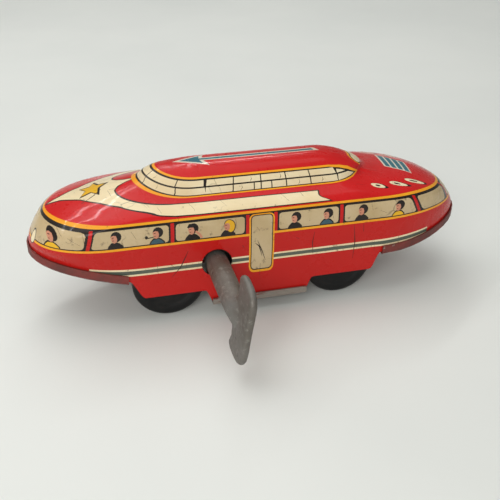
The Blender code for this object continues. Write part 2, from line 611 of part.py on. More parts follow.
def wing_outline():
    """Half of the key's grip, from the barrel out to the ear and back: (y, reach)."""
    start = KEY_END_Y + KEY_WING_LENGTH
    span = KEY_HALF_SPAN
    return [(start + 2.5, 0.0), (start + 1.6, 3.6), (start - 0.8, 5.4), (start - 1.6, 7.4), (start - 0.6, 9.6),
            (start - 0.5, 11.2), (start - 1.6, 12.6), (start - 4.5, span), (start - 8.0, span),
            (KEY_END_Y + 2.6, span - 0.9), (KEY_END_Y + 0.8, span - 2.6), (KEY_END_Y, 8.5),
            (KEY_END_Y + 0.2, 0.0)]


def make_key(mat):
    """A cast key: round barrel and a butterfly grip whose plane holds the barrel's axis."""
    half = wing_outline()
    grip = half + [(y, -reach) for y, reach in reversed(half[1:-1])]
    middle_y = KEY_END_Y + KEY_WING_LENGTH / 2
    lean = Matrix.Rotation(KEY_LEAN, 3, "Y")
    thick = KEY_WING_THICKNESS / 2
    shape = bmesh.new()
    layers = []
    for offset, size in ((-thick, 0.9), (0.7 - thick, 1.0), (thick - 0.7, 1.0), (thick, 0.9)):
        points = [Vector((offset, middle_y + (y - middle_y) * size, reach * size)) for y, reach in grip]
        layers.append([shape.verts.new(lean @ point + Vector((ARBOR_X, 0.0, ARBOR_Z))) for point in points])
    count = len(grip)
    for lower, upper in zip(layers, layers[1:]):
        for i in range(count):
            j = (i + 1) % count
            shape.faces.new((lower[i], lower[j], upper[j], upper[i]))
    ends = [shape.faces.new(layers[0]), shape.faces.new(layers[-1])]
    bmesh.ops.triangulate(shape, faces=ends)
    key = make_object("key", shape, mat, (ARBOR_X, 0.0, ARBOR_Z))
    radius = KEY_BARREL_RADIUS
    start = KEY_START_Y
    wing_start = KEY_END_Y + KEY_WING_LENGTH
    profile = [(0.0, start), (radius - 0.5, start), (radius, start - 0.5), (radius, wing_start + 1.0),
               (radius - 0.6, wing_start - 3.0), (radius - 1.7, wing_start - 7.0), (0.0, wing_start - 10.0)]
    barrel = turned("key_barrel", profile, ARBOR_X, ARBOR_Z, None, 28)
    cut(key, [barrel], "UNION")
    half_bore = ARBOR_SQUARE / 2 + GAP
    low = (-half_bore, KEY_START_Y - 14.0, -half_bore)
    high = (half_bore, KEY_START_Y + 2.0, half_bore)
    bore = box("key_bore", low, high)
    bore.rotation_euler = (0.0, KEY_LEAN, 0.0)
    bore.location = (ARBOR_X * MM, 0.0, ARBOR_Z * MM)
    cut(key, [bore])


def main():
    for obj in list(bpy.data.objects):
        bpy.data.objects.remove(obj, do_unlink=True)
    mats = {
        "steel": material("steel", (0.42, 0.42, 0.43), 1.0, 0.35),
        "spring": material("spring_steel", (0.16, 0.17, 0.22), 1.0, 0.3),
        "plate": material("zinc_plate", (0.55, 0.55, 0.52), 1.0, 0.45),
        "brass": material("brass", (0.6, 0.43, 0.16), 1.0, 0.35),
        "black": material("black_enamel", (0.012, 0.012, 0.012), 0.0, 0.45),
    }
    make_body(material("red_lithographed_tin", (0.55, 0.02, 0.015), 0.0, 0.25))
    make_base(material("dark_red_tin", (0.22, 0.02, 0.015), 0.0, 0.4))
    make_running_gear(mats)
    make_motor_frame(mats)
    make_train(mats)
    make_arbor(mats["steel"])
    make_ratchet(mats["steel"])
    make_click(mats)
    make_mainspring(mats["spring"])
    make_key(material("cast_grey_metal", (0.14, 0.135, 0.125), 0.8, 0.55))


main()
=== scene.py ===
"""Looks of the clockwork tin space bus: printed tin body, tray, wheels, key, studio.

Sizes are in millimetres until a mesh is made; MM turns them into metres. -X is the nose, -Y the keyed side.
"""

import json
import math

import bmesh
import bpy
import numpy as np
from mathutils import Matrix, Vector
from mathutils.geometry import delaunay_2d_cdt
from mathutils.kdtree import KDTree


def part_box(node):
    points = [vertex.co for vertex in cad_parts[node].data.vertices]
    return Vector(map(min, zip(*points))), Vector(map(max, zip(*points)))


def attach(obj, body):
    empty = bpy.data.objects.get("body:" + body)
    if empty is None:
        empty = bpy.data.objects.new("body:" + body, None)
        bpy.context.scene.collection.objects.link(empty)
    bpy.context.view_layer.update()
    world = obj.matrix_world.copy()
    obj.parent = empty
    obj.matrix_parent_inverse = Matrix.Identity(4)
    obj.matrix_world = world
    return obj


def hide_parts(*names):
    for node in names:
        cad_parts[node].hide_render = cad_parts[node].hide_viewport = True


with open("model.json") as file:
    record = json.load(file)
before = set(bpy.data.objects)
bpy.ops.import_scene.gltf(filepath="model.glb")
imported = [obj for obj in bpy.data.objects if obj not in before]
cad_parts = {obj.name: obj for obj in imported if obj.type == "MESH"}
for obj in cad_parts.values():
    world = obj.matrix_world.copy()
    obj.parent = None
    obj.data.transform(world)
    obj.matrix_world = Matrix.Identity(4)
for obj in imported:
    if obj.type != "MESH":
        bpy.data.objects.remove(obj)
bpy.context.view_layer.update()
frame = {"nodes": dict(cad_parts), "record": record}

MM = 0.001

# ------------------------------------------------------------------ shape of the pressed body

NOSE_X = -77.0
TAIL_X = 74.2
HALF_WIDTH = 20.6
BELT_HALF = 19.4
DECK_HALF = 13.0
TOP_HALF = 8.8
SILL_Z = 28.4
BELT_Z = 35.6
SHOULDER_Z = 39.2
FOOT_Z = 40.3
EDGE_Z = 44.4
ROOF_Z = 47.4
SHEET = 0.5
GAP = 0.3
FLOOR_Z = 14.95
KEY_X = -18.4
KEY_Z = 19.5
KEY_HOLE = 5.0

NOSE_RUN = 46.0
FLANK_RUN = 77.0
TAIL_RUN = 44.0
LENGTH = NOSE_RUN + FLANK_RUN + TAIL_RUN

WALL = (HALF_WIDTH - 0.9, NOSE_X + 0.9, -39.3, 2.15, TAIL_X - 0.9, 37.5, 1.85)
WALL_UP = (HALF_WIDTH - 0.75, NOSE_X + 0.75, -39.3, 2.15, TAIL_X - 0.75, 37.5, 1.85)

# width, nose x, nose mid x, nose power, tail x, tail mid x, tail power, side z, nose z, tail z
RINGS = [
    (*WALL, None, None, None),
    (*WALL, 17.6, 22.6, 21.8),
    (*WALL_UP, 21.2, 24.4, 23.4),
    (BELT_HALF + 0.5, NOSE_X + 1.6, -50.0, 2.2, TAIL_X - 3.0, 38.0, 2.0, SILL_Z, SILL_Z - 0.3,
     SILL_Z - 0.6),
    (BELT_HALF, NOSE_X + 6.3, -52.2, 1.8, TAIL_X - 8.0, 40.4, 1.93, BELT_Z, BELT_Z - 0.2,
     BELT_Z - 2.4),
    (BELT_HALF - 0.4, NOSE_X + 7.6, -46.0, 1.8, TAIL_X - 9.4, 37.0, 1.9, BELT_Z + 1.2, BELT_Z + 1.0,
     BELT_Z - 1.6),
    (BELT_HALF - 1.9, NOSE_X + 12.4, -37.0, 1.75, TAIL_X - 14.0, 29.0, 1.85,
     BELT_Z + 2.5, BELT_Z + 2.9, BELT_Z + 0.7),
    (BELT_HALF - 4.2, NOSE_X + 21.0, -32.0, 1.85, TAIL_X - 21.5, 26.0, 1.9,
     SHOULDER_Z, SHOULDER_Z + 1.0, SHOULDER_Z - 0.7),
    (DECK_HALF, NOSE_X + 35.4, -24.0, 2.0, TAIL_X - 36.4, 22.0, 2.0, FOOT_Z, FOOT_Z + 2.6,
     FOOT_Z + 0.5),
    ((DECK_HALF + TOP_HALF) / 2 + 0.3, NOSE_X + 38.5, -22.5, 2.0, TAIL_X - 38.4, 21.5, 2.0,
     FOOT_Z + 2.1, EDGE_Z + 0.5, EDGE_Z - 1.5),
    (TOP_HALF, NOSE_X + 41.8, -21.5, 2.0, TAIL_X - 41.6, 21.0, 2.0, EDGE_Z, ROOF_Z - 0.9,
     EDGE_Z + 0.2),
    (TOP_HALF * 0.66, NOSE_X + 47.0, -20.5, 2.0, TAIL_X - 47.0, 20.0, 2.0, ROOF_Z - 1.0,
     ROOF_Z - 0.25, ROOF_Z - 0.9),
    (TOP_HALF * 0.3, NOSE_X + 53.0, -19.5, 2.0, TAIL_X - 53.0, 19.0, 2.0, ROOF_Z - 0.15, ROOF_Z,
     ROOF_Z - 0.15),
    (0.0, NOSE_X + 56.5, -19.0, 2.0, TAIL_X - 56.5, 18.0, 2.0, ROOF_Z, ROOF_Z, ROOF_Z),
]
# height of each ring up the side, measured over the surface from the lower edge
KNOTS = np.array([0.0, 9.0, 12.6, 19.8, 27.0, 28.3, 30.3, 33.0, 35.6, 38.4, 40.6, 43.8, 47.0, 49.7])
TOP = float(KNOTS[-1])


def ease(t):
    t = np.clip(t, 0.0, 1.0)
    return t * t * (3 - 2 * t)


def floor_z(x):
    nose = 6.3 * np.maximum((-45.0 - x) / (-45.0 - NOSE_X), 0.0)
    tail = 4.6 * np.maximum((x - 44.0) / (TAIL_X - 44.0), 0.0) ** 1.5
    return FLOOR_Z + nose + tail


def edge_z(x):
    ends = floor_z(x) + SHEET + GAP
    well = 4.0 + SHEET + GAP
    level = ends + (9.4 - ends) * ease((x + 46.6) / 4.8)
    level = level + (well - level) * ease((x + 22.4) / 2.8)
    level = level + (9.4 - level) * ease((x - 12.0) / 2.6)
    return level + (ends - level) * ease((x - 35.3) / 3.6)


def ring_points(ring, s):
    """Points of one outline on the keyed side, at the places s along it from nose to tail."""
    width, nose, nose_mid, nose_power, tail, tail_mid, tail_power, side_z, nose_z, tail_z = ring
    turn = np.clip(s / NOSE_RUN, 0, 1) * (math.pi / 2)
    back = np.clip((LENGTH - s) / TAIL_RUN, 0, 1) * (math.pi / 2)
    x_nose = nose_mid - (nose_mid - nose) * np.maximum(np.cos(turn), 0) ** (2 / nose_power)
    x_tail = tail_mid + (tail - tail_mid) * np.maximum(np.cos(back), 0) ** (2 / tail_power)
    x_flank = nose_mid + (s - NOSE_RUN) / FLANK_RUN * (tail_mid - nose_mid)
    in_nose = s < NOSE_RUN
    in_tail = s > NOSE_RUN + FLANK_RUN
    x = np.where(in_nose, x_nose, np.where(in_tail, x_tail, x_flank))
    reach = np.where(in_nose, np.sin(turn) ** (2 / nose_power),
                     np.where(in_tail, np.sin(back) ** (2 / tail_power), 1.0))
    if side_z is None:
        z = edge_z(x)
    else:
        to_nose = np.clip((nose_mid - x) / (nose_mid - nose), 0, 1) ** 2.6
        to_tail = np.clip((x - tail_mid) / (tail - tail_mid), 0, 1) ** 2.6
        z = side_z - (side_z - nose_z) * to_nose - (side_z - tail_z) * to_tail
    return np.stack([x, -width * reach, z], axis=-1)


def surface(s, h):
    """Points of the body: s runs along the side from nose to tail, h up the side and over the roof."""
    s = np.asarray(s, float)
    h = np.clip(np.asarray(h, float), 0, TOP)
    rings = np.stack([ring_points(ring, s) for ring in RINGS])
    steps = np.diff(KNOTS)
    grads = np.diff(rings, axis=0) / steps.reshape(-1, *([1] * (rings.ndim - 1)))
    slopes = np.empty_like(rings)
    slopes[0] = grads[0]
    slopes[-1] = grads[-1]
    for i in range(1, len(KNOTS) - 1):
        before, after = steps[i - 1], steps[i]
        slopes[i] = (grads[i - 1] * after + grads[i] * before) / (before + after)
    slopes[-1][..., 2] = 0.0
    low = np.clip(np.searchsorted(KNOTS, h, side="right") - 1, 0, len(KNOTS) - 2)
    t = ((h - KNOTS[low]) / steps[low])[..., None]
    index = low[None, ..., None]
    p0 = np.take_along_axis(rings, index, 0)[0]
    p1 = np.take_along_axis(rings, index + 1, 0)[0]
    m0 = np.take_along_axis(slopes, index, 0)[0] * steps[low][..., None]
    m1 = np.take_along_axis(slopes, index + 1, 0)[0] * steps[low][..., None]
    return ((2 * t ** 3 - 3 * t ** 2 + 1) * p0 + (t ** 3 - 2 * t ** 2 + t) * m0
            + (3 * t ** 2 - 2 * t ** 3) * p1 + (t ** 3 - t ** 2) * m1)


def along_at(x, h):
    """The place s at which the line of height h has that x."""
    x = np.asarray(x, float)
    h = np.broadcast_to(np.asarray(h, float), x.shape)
    low = np.zeros_like(x)
    high = np.full_like(x, LENGTH)
    for _ in range(24):
        middle = (low + high) / 2
        behind = surface(middle, h)[..., 0] < x
        low = np.where(behind, middle, low)
        high = np.where(behind, high, middle)
    return (low + high) / 2


def at_x(points):
    """Outline points chosen as (x, h), turned into the (s, h) that artwork is drawn in."""
    return [(float(along_at(np.array([x]), h)[0]), h) for x, h in points]


def place_on_top(points):
    """(s, h) of points given as (x, y) on the upper side of the body, y taken as a distance from the middle."""
    points = np.asarray(points, float)
    target = np.stack([points[:, 0], -np.abs(points[:, 1])], axis=1)
    nearest = [int(((TOP_FLAT - spot) ** 2).sum(axis=1).argmin()) for spot in target]
    s, h = TOP_GRID[0][nearest].copy(), TOP_GRID[1][nearest].copy()
    for _ in range(9):
        here = surface(s, h)[:, :2]
        by_s = (surface(s + 1e-3, h)[:, :2] - here) / 1e-3
        by_h = (surface(s, h - 1e-3)[:, :2] - here) / -1e-3
        miss = target - here
        det = by_s[:, 0] * by_h[:, 1] - by_s[:, 1] * by_h[:, 0]
        det = np.where(np.abs(det) < 1e-6, 1e9, det)
        s = s + np.clip((miss[:, 0] * by_h[:, 1] - miss[:, 1] * by_h[:, 0]) / det, -3, 3)
        h = h + np.clip((by_s[:, 0] * miss[:, 1] - by_s[:, 1] * miss[:, 0]) / det, -3, 3)
        s = np.clip(s, 1e-4, LENGTH - 1e-4)
        h = np.clip(h, KNOTS[4], TOP - 1e-4)
    return [place_on_centreline(x) if abs(y) < 1e-6 else (float(a), float(b))
            for (x, y), a, b in zip(points, s, h)]


def place_on_centreline(x):
    """(s, h) of the point of the middle line over x."""
    crown_nose = RINGS[-1][1]
    crown_tail = RINGS[-1][4]
    if crown_nose <= x <= crown_tail:
        return float(along_at(np.array([x]), TOP)[0]), TOP
    s = 0.0 if x < 0 else LENGTH
    low, high = 0.0, TOP
    for _ in range(40):
        middle = (low + high) / 2
        inward = abs(surface(np.array([s]), np.array([middle]))[0, 0])
        if inward > abs(x):
            low = middle
        else:
            high = middle
    return s, (low + high) / 2


_gs, _gh = np.meshgrid(np.linspace(0, LENGTH, 240), np.linspace(KNOTS[4], TOP, 90), indexing="ij")
TOP_GRID = (_gs.ravel(), _gh.ravel())
TOP_FLAT = surface(*TOP_GRID)[:, :2]

# ------------------------------------------------------------------ printed artwork

# Each element: (ink, [(s, h), ...]) on one side; later elements are printed over earlier ones.
near_art = []
far_art = []


def ink(name, points, side="both"):
    points = [(float(s), float(h)) for s, h in points]
    if side in ("both", "near"):
        near_art.append((name, points))
    if side in ("both", "far"):
        far_art.append((name, points))


def side_ink(name, points, side="both"):
    """An outline given as (x, h): x along the toy, h up the side."""
    fine = subdivided(points, 1.0)
    xs = np.array([p[0] for p in fine], float)
    hs = np.array([p[1] for p in fine], float)
    places = along_at(xs, hs)
    ink(name, list(zip(places, hs)), side)


def subdivided(points, step):
    """A closed outline with extra points, so that no edge is longer than the step."""
    fine = []
    for (x0, y0), (x1, y1) in zip(points, points[1:] + points[:1]):
        count = max(1, int(math.ceil(math.hypot(x1 - x0, y1 - y0) / step)))
        fine += [(x0 + (x1 - x0) * i / count, y0 + (y1 - y0) * i / count) for i in range(count)]
    return fine


def with_corners(points):
    """Adds the ends of the roof line where an outline follows the middle of the toy past them."""
    def side_of(s, h):
        if h >= TOP - 1e-6:
            return "top"
        return "nose" if s <= 1e-6 else ("tail" if s >= LENGTH - 1e-6 else "")

    full = []
    for here, after in zip(points, points[1:] + points[:1]):
        full.append(here)
        pair = (side_of(*here), side_of(*after))
        if pair in (("nose", "top"), ("nose", "tail")) and here[0] != after[0]:
            full.append((0.0, TOP))
        if pair in (("tail", "top"), ("tail", "nose"), ("nose", "tail")) and here[0] != after[0]:
            full.append((LENGTH, TOP))
        if pair in (("top", "nose"), ("tail", "nose")) and here[0] != after[0]:
            full.append((0.0, TOP))
        if pair == ("top", "tail") and here[0] != after[0]:
            full.append((LENGTH, TOP))
    return full


def clip_half(points, sign):
    """The part of an (x, y) outline on one side of the middle line."""
    kept = []
    for (x0, y0), (x1, y1) in zip(points, points[1:] + points[:1]):
        in0 = sign * y0 >= 0
        in1 = sign * y1 >= 0
        if in0:
            kept.append((x0, y0))
        if in0 != in1 and y0 != 0 and y1 != 0:
            part = y0 / (y0 - y1)
            kept.append((x0 + (x1 - x0) * part, 0.0))
    return kept


def top_ink(name, points):
    """An outline given as (x, y) seen from above; it may cross the middle line."""
    fine = subdivided(points, 1.2)
    for sign, art in ((-1, near_art), (1, far_art)):
        half = clip_half(fine, sign)
        if len(half) > 2:
            art.append((name, with_corners(place_on_top(half))))


def round_box(x0, x1, h0, h1, radius, lean0=0.0, lean1=0.0):
    """A window outline; lean0 and lean1 move its upper corners along."""
    points = []
    for cx, ch, start in ((x1 - radius, h0 + radius, -90), (x1 - radius, h1 - radius, 0),
                          (x0 + radius, h1 - radius, 90), (x0 + radius, h0 + radius, 180)):
        for step in range(4):
            angle = math.radians(start + step * 30)
            x = cx + radius * math.cos(angle)
            h = ch + radius * math.sin(angle)
            rise = (h - h0) / (h1 - h0)
            centre = (x0 + x1) / 2
            x += rise * (lean0 if x < centre else lean1)
            points.append((x, h))
    return points


def band(name, low, high, start=0.0, end=LENGTH, side="both"):
    ink(name, [(start, low), (end, low), (end, high), (start, high)], side)


def oval(x, y, rx, ry, count=14):
    points = []
    for i in range(count):
        angle = 2 * math.pi * i / count
        points.append((x + rx * math.cos(angle), y + ry * math.sin(angle)))
    return points


def stroke(points, width, ends=0.3):
    """A thin line through points, narrower at its ends."""
    left, right = [], []
    for i, (x, y) in enumerate(points):
        x0, y0 = points[max(i - 1, 0)]
        x1, y1 = points[min(i + 1, len(points) - 1)]
        run = math.hypot(x1 - x0, y1 - y0)
        nx, ny = -(y1 - y0) / run, (x1 - x0) / run
        half = width / 2 * (ends if i in (0, len(points) - 1) else 1.0)
        left.append((x + nx * half, y + ny * half))
        right.append((x - nx * half, y - ny * half))
    return left + right[::-1]


def draw_side():
    """Stripe, sill, windows and door."""
    start, end = -58.6, 57.4
    for name, low, high in (("cream", 9.5, 12.1), ("stripe", 10.15, 11.45)):
        xs = np.linspace(start, end, 60)
        ink(name, list(zip(along_at(xs, low), [low] * 60)) + list(zip(along_at(xs[::-1], high),
                                                                      [high] * 60)))
    band("yellow", 19.35, 20.15)
    band("black", 20.15, 27.15)
    band("yellow", 27.15, 27.95)
    # red posts between the windows: foot x, head x
    for foot, head in ((-58.6, -56.8), (-32.5, -32.2), (-8.3, -8.2), (1.0, 1.0), (23.5, 23.3),
                       (52.6, 49.0)):
        side_ink("red", [(foot - 0.55, 20.15), (foot + 0.55, 20.15), (head + 0.55, 26.75),
                         (head - 0.55, 26.75)])
    # window panes, in the pane ink: cream darkened as painted shade of the window band
    panes = [(-57.5, -33.6, 1.7, 0.2), (-31.4, -9.35, 0.2, 0.1), (2.1, 22.4, 0.0, -0.2),
             (24.6, 51.2, -0.2, -3.3),
             (54.0, 65.8, -3.6, -1.6)]
    for x0, x1, lean0, lean1 in panes:
        side_ink("pane", round_box(x0, x1, 20.55, 26.3, 1.0, lean0, lean1))
    ink("red", [(153.9, 20.15), (155.3, 20.15), (155.3, 27.15), (153.9, 27.15)])
    # the front pane runs round the nose, the rear pane round the tail
    edge = ((-61.0, 20.55), (-60.1, 20.75), (-59.6, 21.4), (-59.3, 22.6), (-58.9, 24.2),
            (-58.6, 25.2), (-58.9, 26.0),
            (-59.9, 26.3))
    ink("pane", [(0, 20.55)] + at_x(edge) + [(0, 26.3)])
    ink("pane", [(LENGTH, 20.55), (LENGTH - 10.5, 20.55), (LENGTH - 11.4, 21.4),
                 (LENGTH - 11.4, 25.5),
                 (LENGTH - 10.5, 26.3), (LENGTH, 26.3)])
    # door
    side_ink("yellow", round_box(-7.75, 0.6, 6.2, 26.75, 1.6))
    side_ink("black", round_box(-7.25, 0.15, 6.8, 26.4, 1.3))
    side_ink("pane", round_box(-6.95, -0.15, 7.1, 26.1, 1.1))
    # headlamp
    ink("black", oval(7.4, 20.5, 2.6, 2.7))
    ink("cream", oval(7.4, 20.5, 2.1, 2.25))


def draw_figure(x, coat, hair="black", look="plain"):
    """A simple printed passenger behind a window: shoulders, neck, head and hair."""
    base = 20.2
    side_ink("black", [(x - 2.5, base), (x + 2.7, base), (x + 2.5, base + 0.9),
                       (x + 1.5, base + 1.9),
                       (x + 0.7, base + 2.3), (x - 1.0, base + 2.2), (x - 1.9, base + 1.2)])
    if coat != "black":
        side_ink(coat, [(x - 2.0, base + 0.3), (x + 2.3, base + 0.3), (x + 2.0, base + 0.9),
                        (x + 1.3, base + 1.5),
                        (x + 0.6, base + 1.9), (x - 0.9, base + 1.7), (x - 1.6, base + 1.0)])
    head = (x + 0.2, base + 3.6)
    side_ink("black", oval(head[0] + 0.35, head[1] + 0.45, 1.65, 1.75, 14))
    if hair != "black":
        side_ink("black", oval(head[0] + 0.9, head[1] - 0.3, 1.6, 2.3, 14))
        side_ink(hair, oval(head[0] + 0.9, head[1] - 0.25, 1.3, 2.0, 14))
        side_ink(hair, oval(head[0] + 0.35, head[1] + 0.5, 1.4, 1.5, 14))
    face = [(-1.1, 0.75), (-1.35, 0.1), (-1.1, -0.5), (-1.0, -1.1), (-0.35, -1.65), (0.45, -1.3),
            (0.65, -0.2), (0.35, 0.8),
            (-0.4, 1.0)]
    side_ink("skin", [(head[0] + a, head[1] + b) for a, b in face])
    side_ink("black", stroke([(head[0] - 0.95, head[1] + 0.25), (head[0] - 0.35, head[1] + 0.3)],
                             0.28, 0.8))
    side_ink("black", stroke([(head[0] - 0.9, head[1] - 0.75), (head[0] - 0.4, head[1] - 0.72)],
                             0.2, 0.8))
    if look == "cap":
        side_ink("black", [(head[0] - 1.7, head[1] + 0.9), (head[0] + 1.4, head[1] + 0.7),
                           (head[0] + 1.2, head[1] + 2.0),
                           (head[0] - 1.0, head[1] + 2.1)])
        side_ink("skin", stroke([(x + 1.2, base + 3.0), (x + 2.4, base + 1.9),
                                 (x + 3.2, base + 0.5)], 0.8, 0.9))
    if look == "pipe":
        side_ink("black", stroke([(head[0] - 1.0, head[1] - 0.95), (head[0] - 2.6, head[1] - 1.15),
                                  (head[0] - 3.4, head[1] - 1.1)], 0.35, 0.9))
        side_ink("black", oval(head[0] - 3.3, head[1] - 0.9, 0.5, 0.6, 8))


def draw_figures():
    draw_figure(-69.0, "gold")
    draw_figure(-50.2, "black")
    draw_figure(-37.4, "blue", look="pipe")
    draw_figure(-26.3, "black", look="cap")
    draw_figure(-14.9, "black", hair="gold")
    draw_figure(7.3, "black")
    draw_figure(18.2, "blue")
    draw_figure(30.4, "black")
    draw_figure(43.6, "gold")


def draw_hood():
    """Cream blaze with a star, running back into the plain banners."""
    blaze_h = [(-70.2, 0.0), (-67.6, -1.0), (-64.9, -1.9), (-58.8, -5.0), (-53.0, -9.1),
               (-47.2, -12.7), (-40.3, -16.6)]
    near_edge = place_on_top(blaze_h[1:])
    tip = place_on_centreline(-69.9)
    flank = at_x(((-35.7, 29.3), (-31.0, 28.6), (-23.5, 28.4), (0.0, 28.4), (20.4, 28.35)))
    upper = at_x(((16.6, 33.3), (-6.0, 33.5), (-22.5, 33.5), (-33.5, 33.9)))
    tear_out = place_on_top([(-40.9, -11.7), (-45.1, -8.9), (-47.1, -6.4), (-47.5, -4.2),
                             (-46.3, -2.5), (-44.0, -1.3),
                             (-42.0, -0.7)])
    foot = [place_on_centreline(-41.8)]
    outline = [tip] + near_edge + flank + upper + tear_out + foot
    ink("black", outline)
    # the same outline a little smaller is the cream
    inner_blaze = place_on_top([(-67.6, -0.45), (-64.8, -1.3), (-58.7, -4.45), (-52.8, -8.55),
                                (-47.0, -12.1), (-40.1, -16.0)])
    inner_flank = at_x(((-35.7, 29.75), (-31.0, 29.0), (-23.5, 28.75), (0.0, 28.75), (19.5, 28.7)))
    inner_upper = at_x(((16.2, 32.95), (-6.0, 33.15), (-22.5, 33.15), (-33.5, 33.5)))
    inner_tear = place_on_top([(-41.2, -12.2), (-45.5, -9.3), (-47.6, -6.6), (-48.0, -4.1),
                               (-46.6, -2.1), (-44.2, -0.9),
                               (-42.2, -0.35)])
    ink("cream", [place_on_centreline(-69.0)] + inner_blaze + inner_flank + inner_upper + inner_tear + foot)
    tips = ((-3.9, 1.3), (-4.0, -3.6), (1.0, -4.2), (4.0, 1.6), (0.3, 4.2))
    star = []
    for (x0, y0), (x1, y1) in zip(tips, tips[1:] + tips[:1]):
        star += [(-54.3 + x0, 0.6 + y0), (-54.3 + (x0 + x1) * 0.3, 0.6 + (y0 + y1) * 0.3)]
    big = [(-54.3 + (x + 54.3) * 1.25 + 0.35, 0.6 + (y - 0.6) * 1.25) for x, y in star]
    top_ink("black", big)
    top_ink("gold", star)


def draw_deck():
    """The raised deck's windows, the rear pane, the roof arrow, the louvres and the three eyelets."""
    rear_low = at_x(((22.0, 35.45), (27.5, 35.7), (30.5, 36.05), (33.0, 36.9)))
    rear_up = at_x(((31.4, 38.2), (29.0, 39.6), (26.0, 40.5), (22.0, 41.1)))
    ink("yellow", [(0, 35.5)] + rear_low + rear_up + [(60.0, 41.15), (30.0, 41.2), (0, 41.2)])
    in_low = at_x(((22.0, 35.95), (27.2, 36.2), (30.0, 36.5), (32.0, 37.1)))
    in_up = at_x(((30.6, 37.9), (28.5, 39.0), (25.6, 39.9), (22.0, 40.5)))
    ink("black", [(0, 35.98)] + in_low + in_up + [(60.0, 40.6), (30.0, 40.65), (0, 40.65)])
    # panes, in an upper and a lower row between the bars
    bars = [9.5, 33.0, 50.3, 66.2, 82.3, 97.1, 111.5, 128.5]
    edges = [0.0] + bars
    for i, left in enumerate(edges[:-1]):
        right = edges[i + 1]
        a = left + (0.32 if i else 0.0)
        b = right - 0.32
        lean = 0.8 if i < 3 else 0.0
        ink("glazed", [(a - lean * (i > 0), 38.75), (b - lean, 38.75), (b - 1.6 * lean, 40.2),
                       (a - 1.6 * lean * (i > 0), 40.2)])
        cuts = [a, b]
        if 66.0 < left < 67.0:
            cuts = [a, 78.0, 78.6, b]
        if 82.0 < left < 83.0:
            cuts = [a, 88.2, 88.8, b]
        for c0, c1 in zip(cuts[::2], cuts[1::2]):
            ink("glazed", [(c0 + lean * (i > 0) * (c0 == a), 36.3), (c1 + lean * (c1 == b), 36.3),
                           (c1, 38.35), (c0, 38.35)])
    end_low = at_x(((24.6, 36.3), (27.2, 36.55), (29.8, 36.85), (31.0, 37.25),
                                                                     (28.6, 38.4), (24.6, 38.35)))
    ink("glazed", end_low)
    end_up = at_x(((24.4, 38.75), (27.6, 38.85), (26.2, 39.35), (24.4, 39.7)))
    ink("glazed", end_up)
    # rear pane of the deck
    ink("yellow", [(LENGTH, 37.2), (157.5, 37.2), (153.6, 37.9), (152.8, 39.2), (154.5, 40.6),
                   (158.0, 41.3), (LENGTH, 41.5)])
    ink("black", [(LENGTH, 37.7), (157.8, 37.75), (154.5, 38.3), (153.8, 39.2), (155.2, 40.2),
                  (158.2, 40.8), (LENGTH, 41.0)])
    ink("glazed", [(LENGTH, 38.1), (158.0, 38.15), (155.2, 38.6), (154.6, 39.2), (155.8, 39.95),
                   (158.4, 40.5), (LENGTH, 40.7)])
    # arrow
    top_ink("light", [(-28.6, 0.0), (-17.0, -4.3), (-18.6, -1.15), (21.2, -1.15), (19.9, 1.15),
                      (-18.6, 1.15), (-17.6, 4.3)])
    top_ink("teal", [(-26.4, 0.0), (-18.9, -2.9), (-19.7, -0.62), (19.4, -0.62), (18.9, 0.62),
                     (-19.7, 0.62), (-19.2, 2.9)])
    # louvres
    corners = ((46.4, 9.6), (45.1, -2.6), (53.7, -6.8), (54.9, 2.6))
    top_ink("light", list(corners))

    def louvre_point(u, v):
        a, b, c, d = corners
        front = (a[0] + (b[0] - a[0]) * v, a[1] + (b[1] - a[1]) * v)
        rear = (d[0] + (c[0] - d[0]) * v, d[1] + (c[1] - d[1]) * v)
        return front[0] + (rear[0] - front[0]) * u, front[1] + (rear[1] - front[1]) * u

    for i in range(4):
        u0 = 0.07 + i * 0.235
        u1 = u0 + 0.175
        top_ink("teal", [louvre_point(u0, 0.04), louvre_point(u0, 0.95), louvre_point(u1, 0.95),
                         louvre_point(u1, 0.04)])
    for s, h in ((133.8, 31.7), (140.0, 30.8), (146.3, 30.1)):
        ink("black", oval(s + 0.15, h - 0.15, 1.85, 1.5, 14))
        ink("cream", oval(s, h, 1.6, 1.3, 14))
        ink("black", oval(s, h, 0.62, 0.55, 10))


